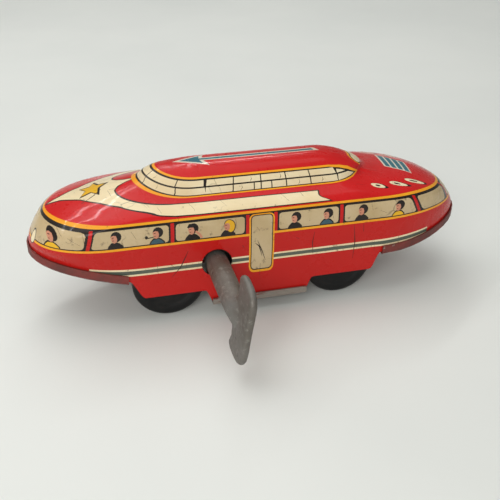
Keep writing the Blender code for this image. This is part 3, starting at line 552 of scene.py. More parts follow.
def draw_damage():
    """Cracks and creases through the lacquer."""
    lines = [
        ([(-27.6, 16.6), (-29.0, 13.6), (-30.3, 10.8), (-33.2, 7.4)], 0.32),
        ([(-28.4, 12.0), (-28.6, 9.4)], 0.2),
        ([(14.4, 18.2), (13.8, 14.4), (14.2, 9.8)], 0.28),
        ([(28.2, 18.8), (28.9, 12.5), (28.7, 5.6)], 0.34),
        ([(31.5, 19.0), (31.7, 16.0)], 0.5), ([(-5.0, 17.4), (-3.6, 13.8), (-2.2, 9.6)], 0.34),
        ([(-3.9, 8.6), (-4.0, 5.2)], 0.3), ([(-5.4, 22.4), (-4.2, 20.6)], 0.25),
        ([(-10.0, 16.2), (-9.4, 15.3)], 0.5),
        ([(-37.7, 13.6), (-37.5, 9.6)], 0.3), ([(36.0, 12.0), (36.4, 7.5)], 0.25),
        ([(8.0, 16.8), (9.1, 16.2)], 0.4),
        ([(-8.9, 22.6), (-8.4, 26.2)], 0.25), ([(19.8, 25.6), (20.6, 22.2)], 0.3),
        ([(33.8, 25.8), (34.4, 23.4)], 0.22),
        ([(37.0, 23.2), (39.5, 22.0)], 0.2), ([(-33.6, 12.6), (-31.4, 10.2)], 0.3),
        ([(-5.8, 16.6), (-4.4, 15.2), (-3.4, 11.4)], 0.4),
        ([(-66.8, 26.2), (-65.6, 24.6)], 0.25), ([(-12.2, 25.9), (-11.8, 22.4)], 0.3),
        ([(-30.4, 28.6), (-30.0, 25.4)], 0.25),
        ([(-64.0, 24.4), (-60.5, 22.2)], 0.22), ([(-45.0, 25.5), (-43.6, 22.6)], 0.22),
    ]
    for points, width in lines:
        side_ink("crack", stroke(points, width))
    for points, width in [
        ([(-58.6, -7.0), (-54.4, -4.2), (-52.0, -1.6)], 0.35),
        ([(-50.0, -3.4), (-49.2, -6.8)], 0.22),
        ([(-47.4, -3.4), (-49.6, -3.0)], 0.3), ([(-43.6, -10.6), (-46.8, -11.4), (-46.0, -13.8)],
                                                0.22),
        ([(-36.0, -15.0), (-35.2, -17.6)], 0.22), ([(-26.0, -15.0), (-24.8, -17.8)], 0.2),
        ([(-16.0, -14.9), (-14.6, -17.4)], 0.2), ([(4.0, -15.2), (5.8, -17.8)], 0.2),
        ([(10.0, -14.9), (11.2, -16.9)], 0.2),
        ([(-61.0, -3.4), (-56.8, -5.0)], 0.16), ([(30.0, -14.0), (33.0, -14.6)], 0.16),
    ]:
        top_ink("crack", stroke(points, width))
    for s, low, high, width in ((70.5, 36.4, 38.2, 0.3), (76.0, 38.8, 40.1, 0.25),
                                (104.0, 36.4, 38.2, 0.25), (21.0, 36.4, 38.2, 0.2),
                                (93.5, 38.8, 40.1, 0.3), (118.0, 36.6, 38.1, 0.3),
                                (15.0, 38.9, 40.0, 0.25)):
        ink("crack", stroke([(s, low), (s + 0.9, (low + high) / 2), (s + 0.5, high)], width))


draw_side()
draw_figures()
draw_hood()
draw_deck()
draw_damage()

# ------------------------------------------------------------------ body mesh

INKS = ["red", "cream", "pane", "glazed", "yellow", "gold", "black", "stripe", "teal", "light",
        "skin", "blue", "crack",
        "inside"]
STEP = 0.8


def boundary_and_rows():
    """Places of the regular mesh points: rows of equal height, points evenly spread over the real surface."""
    heights = list(np.arange(0.0, 9.0, 1.5)) + list(np.arange(9.0, TOP - 0.4, 0.75)) + [TOP]
    inside, edge = [], []
    probe = np.linspace(0, LENGTH, 1200)
    for h in heights:
        points = surface(probe, np.full_like(probe, h))
        run = np.concatenate([[0], np.cumsum(np.linalg.norm(np.diff(points, axis=0), axis=1))])
        count = max(12, int(run[-1] / STEP))
        s = np.interp(np.linspace(0, run[-1], count + 1), run, probe)
        on_edge = h in (heights[0], heights[-1])
        for i, value in enumerate(s):
            (edge if on_edge or i in (0, count) else inside).append((float(value), float(h)))
    return inside, edge


def inside_polygon(px, py, polygon):
    """Which of the points lie inside the outline, by the even-odd rule."""
    found = np.zeros(px.shape, bool)
    for (x0, y0), (x1, y1) in zip(polygon, polygon[1:] + polygon[:1]):
        if y0 == y1:
            continue
        crosses = (y0 > py) != (y1 > py)
        at = x0 + (py - y0) / (y1 - y0) * (x1 - x0)
        found ^= crosses & (px < at)
    return found


def mesh_half(art, hole):
    """One side of the body, meshed so that every printed outline runs along edges: points, triangles, inks."""
    inner, edge = boundary_and_rows()
    outlines = [subdivided(points, STEP) for _, points in art]
    if hole:
        outlines.append(hole)
    points, lines, samples = [], [], []
    for outline in outlines:
        first = len(points)
        count = len(outline)
        points += outline
        for i in range(count):
            a, b = outline[i], outline[(i + 1) % count]
            on_rim = (a[0] == b[0] and a[0] in (0.0, LENGTH)) or (a[1] == b[1] and a[1] in (0.0, TOP))
            if not on_rim:
                lines.append((first + i, first + (i + 1) % count))
                for part in (0.0, 0.33, 0.66):
                    samples.append((a[0] + (b[0] - a[0]) * part, a[1] + (b[1] - a[1]) * part))
    tree = KDTree(len(samples))
    for i, (s, h) in enumerate(samples):
        tree.insert((s, h, 0.0), i)
    tree.balance()
    kept = [p for p in inner if tree.find((p[0], p[1], 0.0))[2] > 0.3]
    points = points + kept + edge
    result = delaunay_2d_cdt([Vector(p) for p in points], lines, [], 0, 1e-5)
    verts = np.array([(v[0], v[1]) for v in result[0]])
    faces = np.array([f for f in result[2] if len(f) == 3])
    mid = verts[faces].mean(axis=1)
    inks = np.zeros(len(faces), int)
    for (name, outline) in art:
        outline_array = np.array(outline)
        low, high = outline_array.min(0), outline_array.max(0)
        near = np.nonzero((mid >= low).all(axis=1) & (mid <= high).all(axis=1))[0]
        if len(near):
            hit = inside_polygon(mid[near, 0], mid[near, 1], outline)
            inks[near[hit]] = INKS.index(name)
    if hole:
        keep = ~inside_polygon(mid[:, 0], mid[:, 1], hole)
        faces, inks = faces[keep], inks[keep]
    return surface(verts[:, 0], verts[:, 1]), faces, inks


def key_hole_outline():
    """The round hole for the winding key, as (s, h) points of the wall."""
    angle = np.linspace(0, 2 * math.pi, 41)[:-1]
    x = KEY_X + KEY_HOLE * np.cos(angle)
    z = KEY_Z + KEY_HOLE * np.sin(angle)
    low, high = np.full_like(x, 0.5), np.full_like(x, 19.0)
    for _ in range(24):
        h = (low + high) / 2
        below = surface(along_at(x, h), h)[:, 2] < z
        low = np.where(below, h, low)
        high = np.where(below, high, h)
    return list(zip(along_at(x, h).tolist(), h.tolist()))


def make_body():
    hole = key_hole_outline()
    shape = bmesh.new()
    ink_layer = shape.faces.layers.int.new("ink")
    for art, side, opening in ((near_art, 1, hole), (far_art, -1, None)):
        points, faces, inks = mesh_half(art, opening)
        used = sorted(set(faces.ravel()))
        verts = {i: shape.verts.new((points[i][0], points[i][1] * side,
                                     points[i][2])) for i in used}
        for face, colour in zip(faces, inks):
            order = face if side == 1 else face[::-1]
            made = shape.faces.new([verts[i] for i in order])
            made[ink_layer] = int(colour)
    bmesh.ops.remove_doubles(shape, verts=[v for v in shape.verts if abs(v.co.y) < 0.03], dist=0.03)
    for vert in shape.verts:
        vert.co.z = min(vert.co.z, ROOF_Z - 0.002)
    shape.normal_update()
    outer = list(shape.verts)
    rim = [e for e in shape.edges if e.is_boundary]
    inward = {}
    for vert in outer:
        outside = vert.co - Vector((vert.co.x * 0.6, 0.0, 20.0))
        away = vert.normal if vert.normal.dot(outside) > 0 else -vert.normal
        inner = vert.co - away * SHEET
        inner.z = min(inner.z, ROOF_Z - SHEET)
        inward[vert] = shape.verts.new(inner)
    for face in list(shape.faces):
        made = shape.faces.new([inward[v] for v in reversed(face.verts)])
        made[ink_layer] = INKS.index("inside")
    for edge in rim:
        a, b = edge.verts
        loop = edge.link_loops[0]
        if loop.vert != a:
            a, b = b, a
        made = shape.faces.new([b, a, inward[a], inward[b]])
        made[ink_layer] = INKS.index("inside")
    for face in shape.faces:
        face.smooth = True
        face.material_index = face[ink_layer]
    for vert in shape.verts:
        vert.co *= MM
    mesh = bpy.data.meshes.new("printed_body")
    shape.to_mesh(mesh)
    shape.free()
    mesh.attributes.remove(mesh.attributes["ink"])
    mesh.set_sharp_from_angle(angle=math.radians(50))
    body = bpy.data.objects.new("printed_body", mesh)
    bpy.context.scene.collection.objects.link(body)
    return body


# ------------------------------------------------------------------ materials

class Paint:
    """A small helper round one node material."""

    def __init__(self, name):
        self.mat = bpy.data.materials.new(name)
        self.mat.use_nodes = True
        self.tree = self.mat.node_tree
        self.shader = self.tree.nodes["Principled BSDF"]
        self.where = self.tree.nodes.new("ShaderNodeNewGeometry").outputs["Position"]

    def node(self, kind, **settings):
        made = self.tree.nodes.new(kind)
        for key, value in settings.items():
            setattr(made, key, value)
        return made

    def link(self, source, target):
        self.tree.links.new(source, target)

    def noise(self, scale, detail=3.0, roughness=0.55, stretch=(1, 1, 1)):
        mapping = self.node("ShaderNodeMapping")
        mapping.inputs["Scale"].default_value = stretch
        self.link(self.where, mapping.inputs["Vector"])
        noise = self.node("ShaderNodeTexNoise")
        noise.inputs["Scale"].default_value = scale
        noise.inputs["Detail"].default_value = detail
        noise.inputs["Roughness"].default_value = roughness
        self.link(mapping.outputs["Vector"], noise.inputs["Vector"])
        return noise.outputs["Fac"]

    def cracks(self, scale, stretch=(1, 1, 1)):
        """Thin lines between uneven cells, bent by noise."""
        mapping = self.node("ShaderNodeMapping")
        mapping.inputs["Scale"].default_value = stretch
        wobble = self.node("ShaderNodeTexNoise")
        wobble.inputs["Scale"].default_value = 180.0
        self.link(self.where, wobble.inputs["Vector"])
        shift = self.node("ShaderNodeVectorMath", operation="MULTIPLY_ADD")
        shift.inputs[1].default_value = (0.006, 0.006, 0.006)
        self.link(wobble.outputs["Color"], shift.inputs[0])
        self.link(self.where, shift.inputs[2])
        self.link(shift.outputs[0], mapping.inputs["Vector"])
        cells = self.node("ShaderNodeTexVoronoi", feature="DISTANCE_TO_EDGE")
        cells.inputs["Scale"].default_value = scale
        self.link(mapping.outputs["Vector"], cells.inputs["Vector"])
        return cells.outputs["Distance"]

    def ramp(self, source, low, high, flip=False):
        """0 below low, 1 above high, or the other way round."""
        spread = self.node("ShaderNodeMapRange", clamp=True)
        spread.inputs["From Min"].default_value = low
        spread.inputs["From Max"].default_value = high
        spread.inputs["To Min"].default_value = 1.0 if flip else 0.0
        spread.inputs["To Max"].default_value = 0.0 if flip else 1.0
        self.link(source, spread.inputs["Value"])
        return spread.outputs["Result"]

    def times(self, a, b):
        made = self.node("ShaderNodeMath", operation="MULTIPLY")
        for socket, value in zip(made.inputs, (a, b)):
            if isinstance(value, float):
                socket.default_value = value
            else:
                self.link(value, socket)
        return made.outputs[0]

    def mix(self, amount, first, second, mode="MIX"):
        made = self.node("ShaderNodeMix", data_type="RGBA", blend_type=mode)
        for name, value in (("A", first), ("B", second)):
            socket = [s for s in made.inputs if s.name == name and s.type == "RGBA"][0]
            if isinstance(value, tuple):
                socket.default_value = (*value, 1.0)
            else:
                self.link(value, socket)
        factor = [s for s in made.inputs if s.name == "Factor" and s.type == "VALUE"][0]
        if isinstance(amount, float):
            factor.default_value = amount
        else:
            self.link(amount, factor)
        return [s for s in made.outputs if s.type == "RGBA"][0]

    def set(self, name, value):
        socket = self.shader.inputs[name]
        if isinstance(value, (int, float)):
            socket.default_value = value
        elif isinstance(value, tuple):
            socket.default_value = (*value, 1.0)
        else:
            self.link(value, socket)

    def roughness(self, source, low, high):
        """Roughness that follows source, between low and high."""
        spread = self.node("ShaderNodeMapRange")
        spread.inputs["To Min"].default_value = low
        spread.inputs["To Max"].default_value = high
        self.link(source, spread.inputs["Value"])
        self.set("Roughness", spread.outputs["Result"])

    def bump(self, source, strength, distance):
        made = self.node("ShaderNodeBump")
        made.inputs["Strength"].default_value = strength
        made.inputs["Distance"].default_value = distance
        self.link(source, made.inputs["Height"])
        self.link(made.outputs["Normal"], self.shader.inputs["Normal"])

    def height(self):
        """Height above the ground, in metres."""
        parts = self.node("ShaderNodeSeparateXYZ")
        self.link(self.where, parts.inputs[0])
        return parts.outputs["Z"]


def printed_tin(name, colour, aged, gloss=0.24, cracking=0.0, painted_side_shade=None,
                speck=(0.05, 0.03, 0.02), specks=0.62):
    """Lithographed tin: ink under yellowed lacquer, with mottling, specks, rubbed places and fine cracks; a
    darker colour, when given, is mixed in below the belt as painted shade of the side.
    """
    p = Paint(name)
    base = p.mix(p.ramp(p.noise(55.0, 4.0), 0.35, 0.7), colour, aged)
    # painted shade: below the belt the ink turns to the given darker colour, standing in for the less lit side
    # wall
    if painted_side_shade is not None:
        base = p.mix(p.ramp(p.height(), 0.0285, 0.0372, flip=True), base, painted_side_shade)
    fine = p.mix(p.times(p.ramp(p.noise(900.0, 2.0), 0.45, 0.7), 0.16), base, aged)
    dirt = p.mix(p.times(p.ramp(p.noise(420.0, 5.0, 0.7), specks, specks + 0.08), 0.5), fine, speck)
    if cracking > 0:
        lines = p.times(p.ramp(p.cracks(95.0, (1, 1, 0.6)), 0.006, 0.02, flip=True),
                        p.ramp(p.noise(40.0), 0.5, 0.62))
        dirt = p.mix(p.times(lines, cracking), dirt, speck)
    p.set("Base Color", dirt)
    p.roughness(p.noise(120.0, 6.0, 0.65), gloss * 0.75, gloss * 1.6)
    p.set("Specular IOR Level", 0.14)
    p.set("Coat Weight", 0.22)
    p.set("Coat Roughness", 0.06)
    p.bump(p.noise(260.0, 3.0), 0.12, 0.0004)
    return p.mat


def plain_metal(name, colour, worn, rough, bump_scale=700.0, metallic=1.0, spot_scale=160.0):
    p = Paint(name)
    base = p.mix(p.ramp(p.noise(spot_scale, 5.0, 0.65), 0.4, 0.66), colour, worn)
    p.set("Base Color", base)
    p.set("Metallic", metallic)
    p.roughness(p.noise(300.0, 4.0), rough * 0.75, min(rough * 1.3, 1.0))
    p.bump(p.noise(bump_scale, 4.0), 0.25, 0.0002)
    return p.mat


def tray_paint():
    """Dull dark red enamel, browned, rubbed to bare metal along the well."""
    p = Paint("tray_dark_red")
    base = p.mix(p.ramp(p.noise(140.0, 6.0, 0.7), 0.38, 0.62), (0.19, 0.024, 0.018),
                 (0.10, 0.024, 0.018))
    low = p.ramp(p.height(), 0.0074, 0.0092, flip=True)
    wear = p.times(low, p.ramp(p.noise(110.0, 6.0, 0.75, (0.5, 1, 2.2)), 0.44, 0.5))
    chips = p.ramp(p.noise(190.0, 5.0, 0.7), 0.655, 0.675)
    bare = p.node("ShaderNodeMath", operation="MAXIMUM")
    p.link(wear, bare.inputs[0])
    p.link(chips, bare.inputs[1])
    p.set("Base Color", p.mix(bare.outputs[0], base, (0.36, 0.32, 0.28)))
    p.set("Metallic", p.times(bare.outputs[0], 0.9))
    p.roughness(p.noise(260.0, 4.0), 0.4, 0.75)
    p.bump(p.noise(420.0, 5.0), 0.3, 0.0003)
    return p.mat


def cast_metal():
    """Grey casting with a brown patina and a sand-cast skin."""
    p = Paint("cast_key_metal")
    base = p.mix(p.ramp(p.noise(70.0, 5.0, 0.6), 0.36, 0.66), (0.20, 0.19, 0.175),
                 (0.125, 0.105, 0.085))
    light = p.mix(p.times(p.ramp(p.noise(600.0, 4.0, 0.7), 0.56, 0.66), 0.55), base,
                  (0.32, 0.305, 0.28))
    pits = p.mix(p.ramp(p.noise(330.0, 3.0), 0.66, 0.72), light, (0.035, 0.03, 0.025))
    p.set("Base Color", pits)
    p.set("Metallic", 0.55)
    p.roughness(p.noise(240.0, 4.0), 0.42, 0.7)
    p.bump(p.noise(520.0, 6.0, 0.65), 0.45, 0.0005)
    return p.mat


def black_moulding():
    """Smooth black wheels with a film of dust and small scuffs."""
    p = Paint("wheel_black")
    base = p.mix(p.times(p.ramp(p.noise(200.0, 6.0, 0.7), 0.5, 0.72), 0.6), (0.004, 0.004, 0.004),
                 (0.016, 0.014, 0.012))
    p.set("Base Color", base)
    p.set("Specular IOR Level", 0.3)
    p.roughness(p.noise(320.0, 5.0, 0.7), 0.25, 0.5)
    p.bump(p.noise(450.0, 3.0), 0.15, 0.0002)
    return p.mat


CREAM = (0.76, 0.64, 0.42)
AGED_CREAM = (0.66, 0.51, 0.29)
body_materials = {
    # red: bright on top, with painted shade in a darker red low on the side
    "red": printed_tin("ink_red", (0.60, 0.012, 0.013), (0.52, 0.009, 0.009),
                       painted_side_shade=(0.50, 0.012, 0.009), specks=0.68),
    "cream": printed_tin("ink_cream", (0.84, 0.72, 0.48), (0.76, 0.60, 0.35), cracking=0.55),
    # the window ink is a darker copy of the cream: print of the windows, with painted shade of the window band
    "pane": printed_tin("ink_window_painted_shade", (0.58, 0.45, 0.27), (0.47, 0.34, 0.17), cracking=0.6,
                        specks=0.6),
    "glazed": printed_tin("ink_deck_pane", (0.78, 0.67, 0.45), (0.68, 0.53, 0.31), cracking=0.5),
    "yellow": printed_tin("ink_yellow", (0.86, 0.39, 0.02), (0.78, 0.29, 0.015)),
    "gold": printed_tin("ink_gold", (0.80, 0.47, 0.02), (0.70, 0.36, 0.02)),
    "black": printed_tin("ink_black", (0.012, 0.010, 0.009), (0.03, 0.02, 0.016)),
    "stripe": printed_tin("ink_grey_green", (0.075, 0.095, 0.075), (0.11, 0.12, 0.09)),
    "teal": printed_tin("ink_teal", (0.035, 0.16, 0.20), (0.03, 0.11, 0.135)),
    "light": printed_tin("ink_pale", (0.72, 0.66, 0.55), (0.62, 0.52, 0.4)),
    "skin": printed_tin("ink_skin", (0.60, 0.27, 0.17), (0.52, 0.2, 0.12)),
    "blue": printed_tin("ink_blue", (0.05, 0.105, 0.135), (0.04, 0.075, 0.09)),
    "crack": printed_tin("ink_cracked", (0.02, 0.012, 0.01), (0.05, 0.02, 0.015), gloss=0.5),
    "inside": plain_metal("bare_tin_inside", (0.46, 0.45, 0.42), (0.3, 0.27, 0.23), 0.45),
}

body = make_body()
for name in INKS:
    body.data.materials.append(body_materials[name])
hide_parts("body_shell")
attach(body, "frame")

# ------------------------------------------------------------------ wheels and key


def spun(name, profile, x, z, segments=96):
    """A turned piece: (radius, y) points spun about the axle line through (x, z)."""
    shape = bmesh.new()
    rings = []
    for radius, y in profile:
        ring = []
        for i in range(segments):
            angle = 2 * math.pi * i / segments
            ring.append(shape.verts.new((x + radius * math.cos(angle), y,
                                         z + radius * math.sin(angle))))
        rings.append(ring)
    for first, second in zip(rings, rings[1:] + rings[:1]):
        for i in range(segments):
            j = (i + 1) % segments
            shape.faces.new((first[i], first[j], second[j], second[i]))
    bmesh.ops.recalc_face_normals(shape, faces=shape.faces)
    return finish_mesh(name, shape, 32)


def finish_mesh(name, shape, sharp_degrees):
    for face in shape.faces:
        face.smooth = True
    for vert in shape.verts:
        vert.co *= MM
    mesh = bpy.data.meshes.new(name)
    shape.to_mesh(mesh)
    shape.free()
    mesh.set_sharp_from_angle(angle=math.radians(sharp_degrees))
    made = bpy.data.objects.new(name, mesh)
    bpy.context.scene.collection.objects.link(made)
    return made


def make_wheels():
    black = black_moulding()
    for end in ("front", "rear"):
        for side_name, side in (("left", -1), ("right", 1)):
            node = f"wheel_{end}_{side_name}"
            low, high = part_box(node)
            x = (low.x + high.x) / 2 / MM
            z = (low.z + high.z) / 2 / MM
            radius = (high.z - low.z) / 2 / MM - 0.01
            outer = max(abs(low.y), abs(high.y)) / MM
            inner = min(abs(low.y), abs(high.y)) / MM
            bore = 1.6
            profile = [(bore, inner + 0.2), (bore + 1.8, inner + 0.2), (bore + 2.0, inner + 0.5),
                       (bore + 2.2, inner + 2.2),
                       (radius - 2.2, inner + 2.2), (radius - 1.9, inner + 0.35),
                       (radius - 1.5, inner + 0.06)]
            for i in range(5):
                angle = math.radians(22.5 * i)
                profile.append((radius - 1.1 + 1.1 * math.sin(angle),
                                inner + 1.1 - 1.1 * math.cos(angle)))
            for i in range(7):
                angle = math.radians(15 * i)
                profile.append((radius - 2.0 + 2.0 * math.cos(angle),
                                outer - 1.6 + 1.6 * math.sin(angle)))
            profile += [(radius - 3.4, outer - 0.02), (radius - 3.9, outer - 0.3),
                        (radius - 4.6, outer - 0.42),
                        (bore + 1.6, outer - 0.42), (bore + 1.1, outer - 0.15), (bore, outer - 0.1)]
            wheel = spun(f"{node}_moulding", [(r, side * y) for r, y in profile], x, z)
            wheel.data.materials.append(black)
            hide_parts(node)
            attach(wheel, f"{end}_wheels")


KEY_LEAN = math.radians(9)
KEY_START = -17.0
KEY_END = -60.7
WING_LENGTH = 13.7


def make_key():
    """The cast key: one body of quads, a round barrel that flattens into a butterfly grip, then smoothed."""
    radius = 3.75
    wing = KEY_END + WING_LENGTH
    half_bore = 1.9
    shape = bmesh.new()
    # barrel: rings of 16 points, hollow square bore at the motor end
    count = 16

    def ring(y, rx, rz, power=2.0):
        made = []
        for i in range(count):
            angle = 2 * math.pi * (i + 0.5) / count
            c, s = math.cos(angle), math.sin(angle)
            made.append((rx * math.copysign(abs(c) ** (2 / power), c), y,
                         rz * math.copysign(abs(s) ** (2 / power), s)))
        return made

    rings = [ring(KEY_START - 13.5, half_bore, half_bore, 7.0),
             ring(KEY_START - 0.1, half_bore, half_bore, 7.0),
             ring(KEY_START, half_bore + 0.25, half_bore + 0.25, 5.0),
             ring(KEY_START, radius - 0.75, radius - 0.75),
             ring(KEY_START - 0.25, radius - 0.12, radius - 0.12),
             ring(KEY_START - 1.0, radius, radius),
             ring(KEY_START - 10.0, radius, radius), ring(KEY_START - 19.0, radius, radius),
             ring(wing + 4.0, radius, radius),
             ring(wing + 2.2, radius - 0.05, radius + 0.1),
             ring(wing + 0.4, radius - 0.45, radius + 0.6),
             ring(wing - 1.6, radius - 1.1, radius + 1.2),
             ring(wing - 3.4, radius - 1.8, radius + 1.0),
             ring(wing - 5.2, radius - 2.4, radius + 0.2), ring(wing - 6.8, 0.7, 2.4),
             ring(wing - 7.6, 0.3, 1.0)]
    verts = [[shape.verts.new(p) for p in r] for r in rings]
    for first, second in zip(verts, verts[1:]):
        for i in range(count):
            j = (i + 1) % count
            shape.faces.new((first[i], first[j], second[j], second[i]))
    shape.faces.new(verts[0])
    shape.faces.new(verts[-1])
    bmesh.ops.recalc_face_normals(shape, faces=shape.faces)
    # grip plate: outline points with a rounded edge section
    span = 12.7
    half = [(wing + 2.6, 0.0), (wing + 2.2, 2.2), (wing + 1.2, 3.9), (wing - 0.4, 5.2),
            (wing - 1.4, 6.6), (wing - 1.3, 8.2),
            (wing - 0.6, 9.6), (wing + 0.1, 10.9), (wing - 0.5, 12.0), (wing - 2.2, 12.6),
            (wing - 4.6, span),
            (wing - 7.6, span - 0.1), (KEY_END + 3.4, span - 0.6), (KEY_END + 1.5, span - 1.6),
            (KEY_END + 0.4, span - 3.2),
            (KEY_END, 6.8), (KEY_END + 0.15, 3.4), (KEY_END + 0.25, 0.0)]
    outline = half + [(y, -z) for y, z in reversed(half[1:-1])]
    plate = bmesh.new()
    thick = 1.15
    centre_y = wing - 6.2
    layers = []
    for offset, shrink in ((-thick, 0.78), (-thick * 0.93, 0.9), (-thick * 0.62, 0.972), (0.0, 1.0),
                           (thick * 0.62, 0.972),
                           (thick * 0.93, 0.9), (thick, 0.78)):
        layer = []
        for y, z in outline:
            inset_y = centre_y + (y - centre_y) * (1 - (1 - shrink) * 0.55)
            inset_z = z * (1 - (1 - shrink) * 0.45)
            layer.append(plate.verts.new((offset, inset_y, inset_z)))
        layers.append(layer)
    total = len(outline)
    for first, second in zip(layers, layers[1:]):
        for i in range(total):
            j = (i + 1) % total
            plate.faces.new((first[i], first[j], second[j], second[i]))
    caps = [plate.faces.new(layers[0]), plate.faces.new(layers[-1])]
    bmesh.ops.triangulate(plate, faces=caps)
    bmesh.ops.recalc_face_normals(plate, faces=plate.faces)
    both = bpy.data.meshes.new("grip")
    plate.to_mesh(both)
    plate.free()
    shape.from_mesh(both)
    bpy.data.meshes.remove(both)
    turn = Matrix.Translation((KEY_X, 0.0, KEY_Z)) @ Matrix.Rotation(KEY_LEAN, 4, "Y")
    bmesh.ops.transform(shape, matrix=turn, verts=shape.verts)
    key = finish_mesh("cast_key", shape, 180)
    soften = key.modifiers.new("remesh", "REMESH")
    soften.mode = "VOXEL"
    soften.voxel_size = 0.00032
    smoothing = key.modifiers.new("smooth", "SMOOTH")
    smoothing.factor = 0.5
    smoothing.iterations = 6
    bake_modifiers(key)
    for face in key.data.polygons:
        face.use_smooth = True
    return key


def bake_modifiers(obj):
    """Makes the modified mesh the object's own mesh."""
    bpy.context.view_layer.update()
    graph = bpy.context.evaluated_depsgraph_get()
    mesh = bpy.data.meshes.new_from_object(obj.evaluated_get(graph))
    obj.modifiers.clear()
    old = obj.data
    obj.data = mesh
    bpy.data.meshes.remove(old)


make_wheels()
key = make_key()
key.data.materials.clear()
key.data.materials.append(cast_metal())
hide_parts("key")
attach(key, "winding_set")

# ------------------------------------------------------------------ finish of the pieces kept from the frame


def smoothing_nodes():
    """Node group that joins split points and shades smoothly across shallow edges."""
    group = bpy.data.node_groups.new("SoftShade", "GeometryNodeTree")
    group.interface.new_socket("Geometry", in_out="INPUT", socket_type="NodeSocketGeometry")
    group.interface.new_socket("Geometry", in_out="OUTPUT", socket_type="NodeSocketGeometry")
    start = group.nodes.new("NodeGroupInput")
    end = group.nodes.new("NodeGroupOutput")
    strip = group.nodes.new("GeometryNodeRemoveAttribute")
    strip.inputs["Name"].default_value = "custom_normal"
    weld = group.nodes.new("GeometryNodeMergeByDistance")
    weld.inputs["Distance"].default_value = 2e-6
    smooth_faces = group.nodes.new("GeometryNodeSetShadeSmooth")
    sharp = group.nodes.new("GeometryNodeSetShadeSmooth")
    sharp.domain = "EDGE"
    angle = group.nodes.new("GeometryNodeInputMeshEdgeAngle")
    compare = group.nodes.new("FunctionNodeCompare")
    compare.data_type = "FLOAT"
    compare.operation = "GREATER_THAN"
    compare.inputs["B"].default_value = math.radians(28)
    sharp.inputs["Shade Smooth"].default_value = False
    links = group.links
    links.new(start.outputs[0], strip.inputs["Geometry"])
    links.new(strip.outputs["Geometry"], weld.inputs["Geometry"])
    links.new(weld.outputs["Geometry"], smooth_faces.inputs["Geometry"])
    links.new(smooth_faces.outputs["Geometry"], sharp.inputs["Geometry"])
    links.new(angle.outputs["Unsigned Angle"], compare.inputs["A"])
    links.new(compare.outputs["Result"], sharp.inputs["Selection"])
    links.new(sharp.outputs["Geometry"], end.inputs[0])
    return group


finishes = {
    "steel": plain_metal("drawn_steel", (0.40, 0.40, 0.41), (0.22, 0.19, 0.16), 0.36),
    "spring_steel": plain_metal("blued_spring", (0.10, 0.12, 0.17), (0.16, 0.12, 0.08), 0.3),
    "zinc_plate": plain_metal("zinc_sheet", (0.50, 0.51, 0.49), (0.34, 0.33, 0.29), 0.42),
    "brass": plain_metal("old_brass", (0.55, 0.38, 0.13), (0.30, 0.19, 0.07), 0.36),
    "dark_red_tin": tray_paint(),
    "cast_grey_metal": key.data.materials[0],
    "red_lithographed_tin": body_materials["red"],
    "black_enamel": bpy.data.materials["wheel_black"],
}
shade = smoothing_nodes()
for entry in frame["record"]["subparts"]:
    part = frame["nodes"][entry["node"]]
    part.data.materials.clear()
    part.data.materials.append(finishes[entry["material_slot"]])
    if not part.hide_render:
        part.modifiers.new("SoftShade", "NODES").node_group = shade

# ------------------------------------------------------------------ floor, light, camera


def make_floor():
    shape = bmesh.new()
    reach = 12.0
    profile = [(-reach, 0.0)] + [(y, 0.0) for y in np.linspace(-1.0, 0.9, 6)]
    for i in range(1, 13):
        angle = math.radians(i * 7.5)
        profile.append((0.9 + 1.2 * math.sin(angle), 1.2 - 1.2 * math.cos(angle)))
    profile.append((2.1, 4.0))
    rows = [[shape.verts.new((x, y, z)) for x in (-reach, reach)] for y, z in profile]
    for first, second in zip(rows, rows[1:]):
        face = shape.faces.new((first[0], first[1], second[1], second[0]))
        face.smooth = True
    mesh = bpy.data.meshes.new("studio_floor")
    shape.to_mesh(mesh)
    shape.free()
    floor = bpy.data.objects.new("studio_floor", mesh)
    bpy.context.scene.collection.objects.link(floor)
    p = Paint("pale_floor")
    p.set("Base Color", p.mix(p.ramp(p.noise(6.0, 4.0), 0.3, 0.7), (0.79, 0.80, 0.765),
                              (0.73, 0.745, 0.715)))
    p.set("Roughness", 0.5)
    p.bump(p.noise(90.0, 4.0), 0.03, 0.0005)
    mesh.materials.append(p.mat)


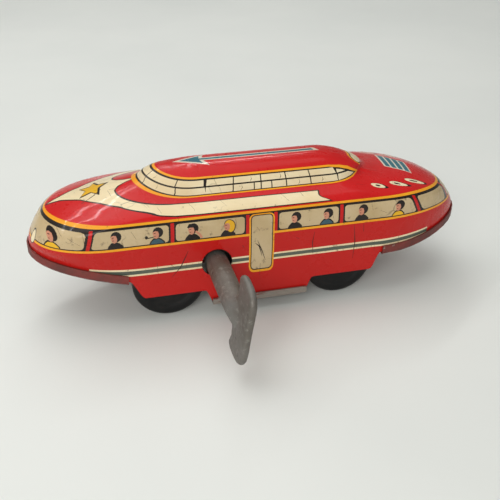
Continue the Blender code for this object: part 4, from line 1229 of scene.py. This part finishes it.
def add_area(name, place, target, size, power, colour):
    light = bpy.data.lights.new(name, "AREA")
    light.shape = "RECTANGLE"
    light.size, light.size_y = size
    light.energy = power
    light.color = colour
    lamp = bpy.data.objects.new(name, light)
    lamp.location = place
    lamp.rotation_euler = (Vector(target) - Vector(place)).to_track_quat("-Z", "Y").to_euler()
    bpy.context.scene.collection.objects.link(lamp)


def add_camera():
    focal = 743.37
    azimuth = math.radians(-15.12)
    elevation = math.radians(29.85)
    roll = math.radians(0.71)
    data = bpy.data.cameras.new("camera")
    data.sensor_width = 36.0
    data.lens = focal / 500 * 36.0
    data.clip_start = 0.01
    data.dof.use_dof = False
    camera = bpy.data.objects.new("camera", data)
    back = Vector((math.sin(azimuth) * math.cos(elevation),
                   -math.cos(azimuth) * math.cos(elevation), math.sin(elevation)))
    right = Vector((math.cos(azimuth), math.sin(azimuth), 0.0))
    up = back.cross(right)
    turned_right = right * math.cos(roll) + up * math.sin(roll)
    turned_up = up * math.cos(roll) - right * math.sin(roll)
    turn = Matrix((turned_right, turned_up, back)).transposed().to_4x4()
    camera.matrix_world = Matrix.Translation(Vector((-61.817, -220.955, 142.281)) * MM) @ turn
    bpy.context.scene.collection.objects.link(camera)
    bpy.context.scene.camera = camera


make_floor()
add_area("top_light", (-0.1, 0.1, 1.2), (0.0, 0.0, 0.0), (1.2, 0.9), 3.9, (1.0, 0.995, 0.975))
add_area("front_light", (-0.45, -0.9, 0.55), (0.0, 0.0, 0.02), (0.9, 0.5), 7.5, (1.0, 0.99, 0.965))
add_area("strip_light_1", (-0.25, 0.28, 0.62), (-0.03, 0.0, 0.03), (1.3, 0.007), 1.5,
         (1.0, 1.0, 1.0))
add_area("strip_light_2", (-0.25, 0.40, 0.62), (-0.03, 0.0, 0.03), (1.3, 0.007), 1.2,
         (1.0, 1.0, 1.0))
world = bpy.data.worlds.new("studio")
world.use_nodes = True
world.node_tree.nodes["Background"].inputs["Color"].default_value = (0.93, 0.96, 0.95, 1.0)
world.node_tree.nodes["Background"].inputs["Strength"].default_value = 0.3
bpy.context.scene.world = world
bpy.context.scene.view_settings.view_transform = "Standard"
add_camera()
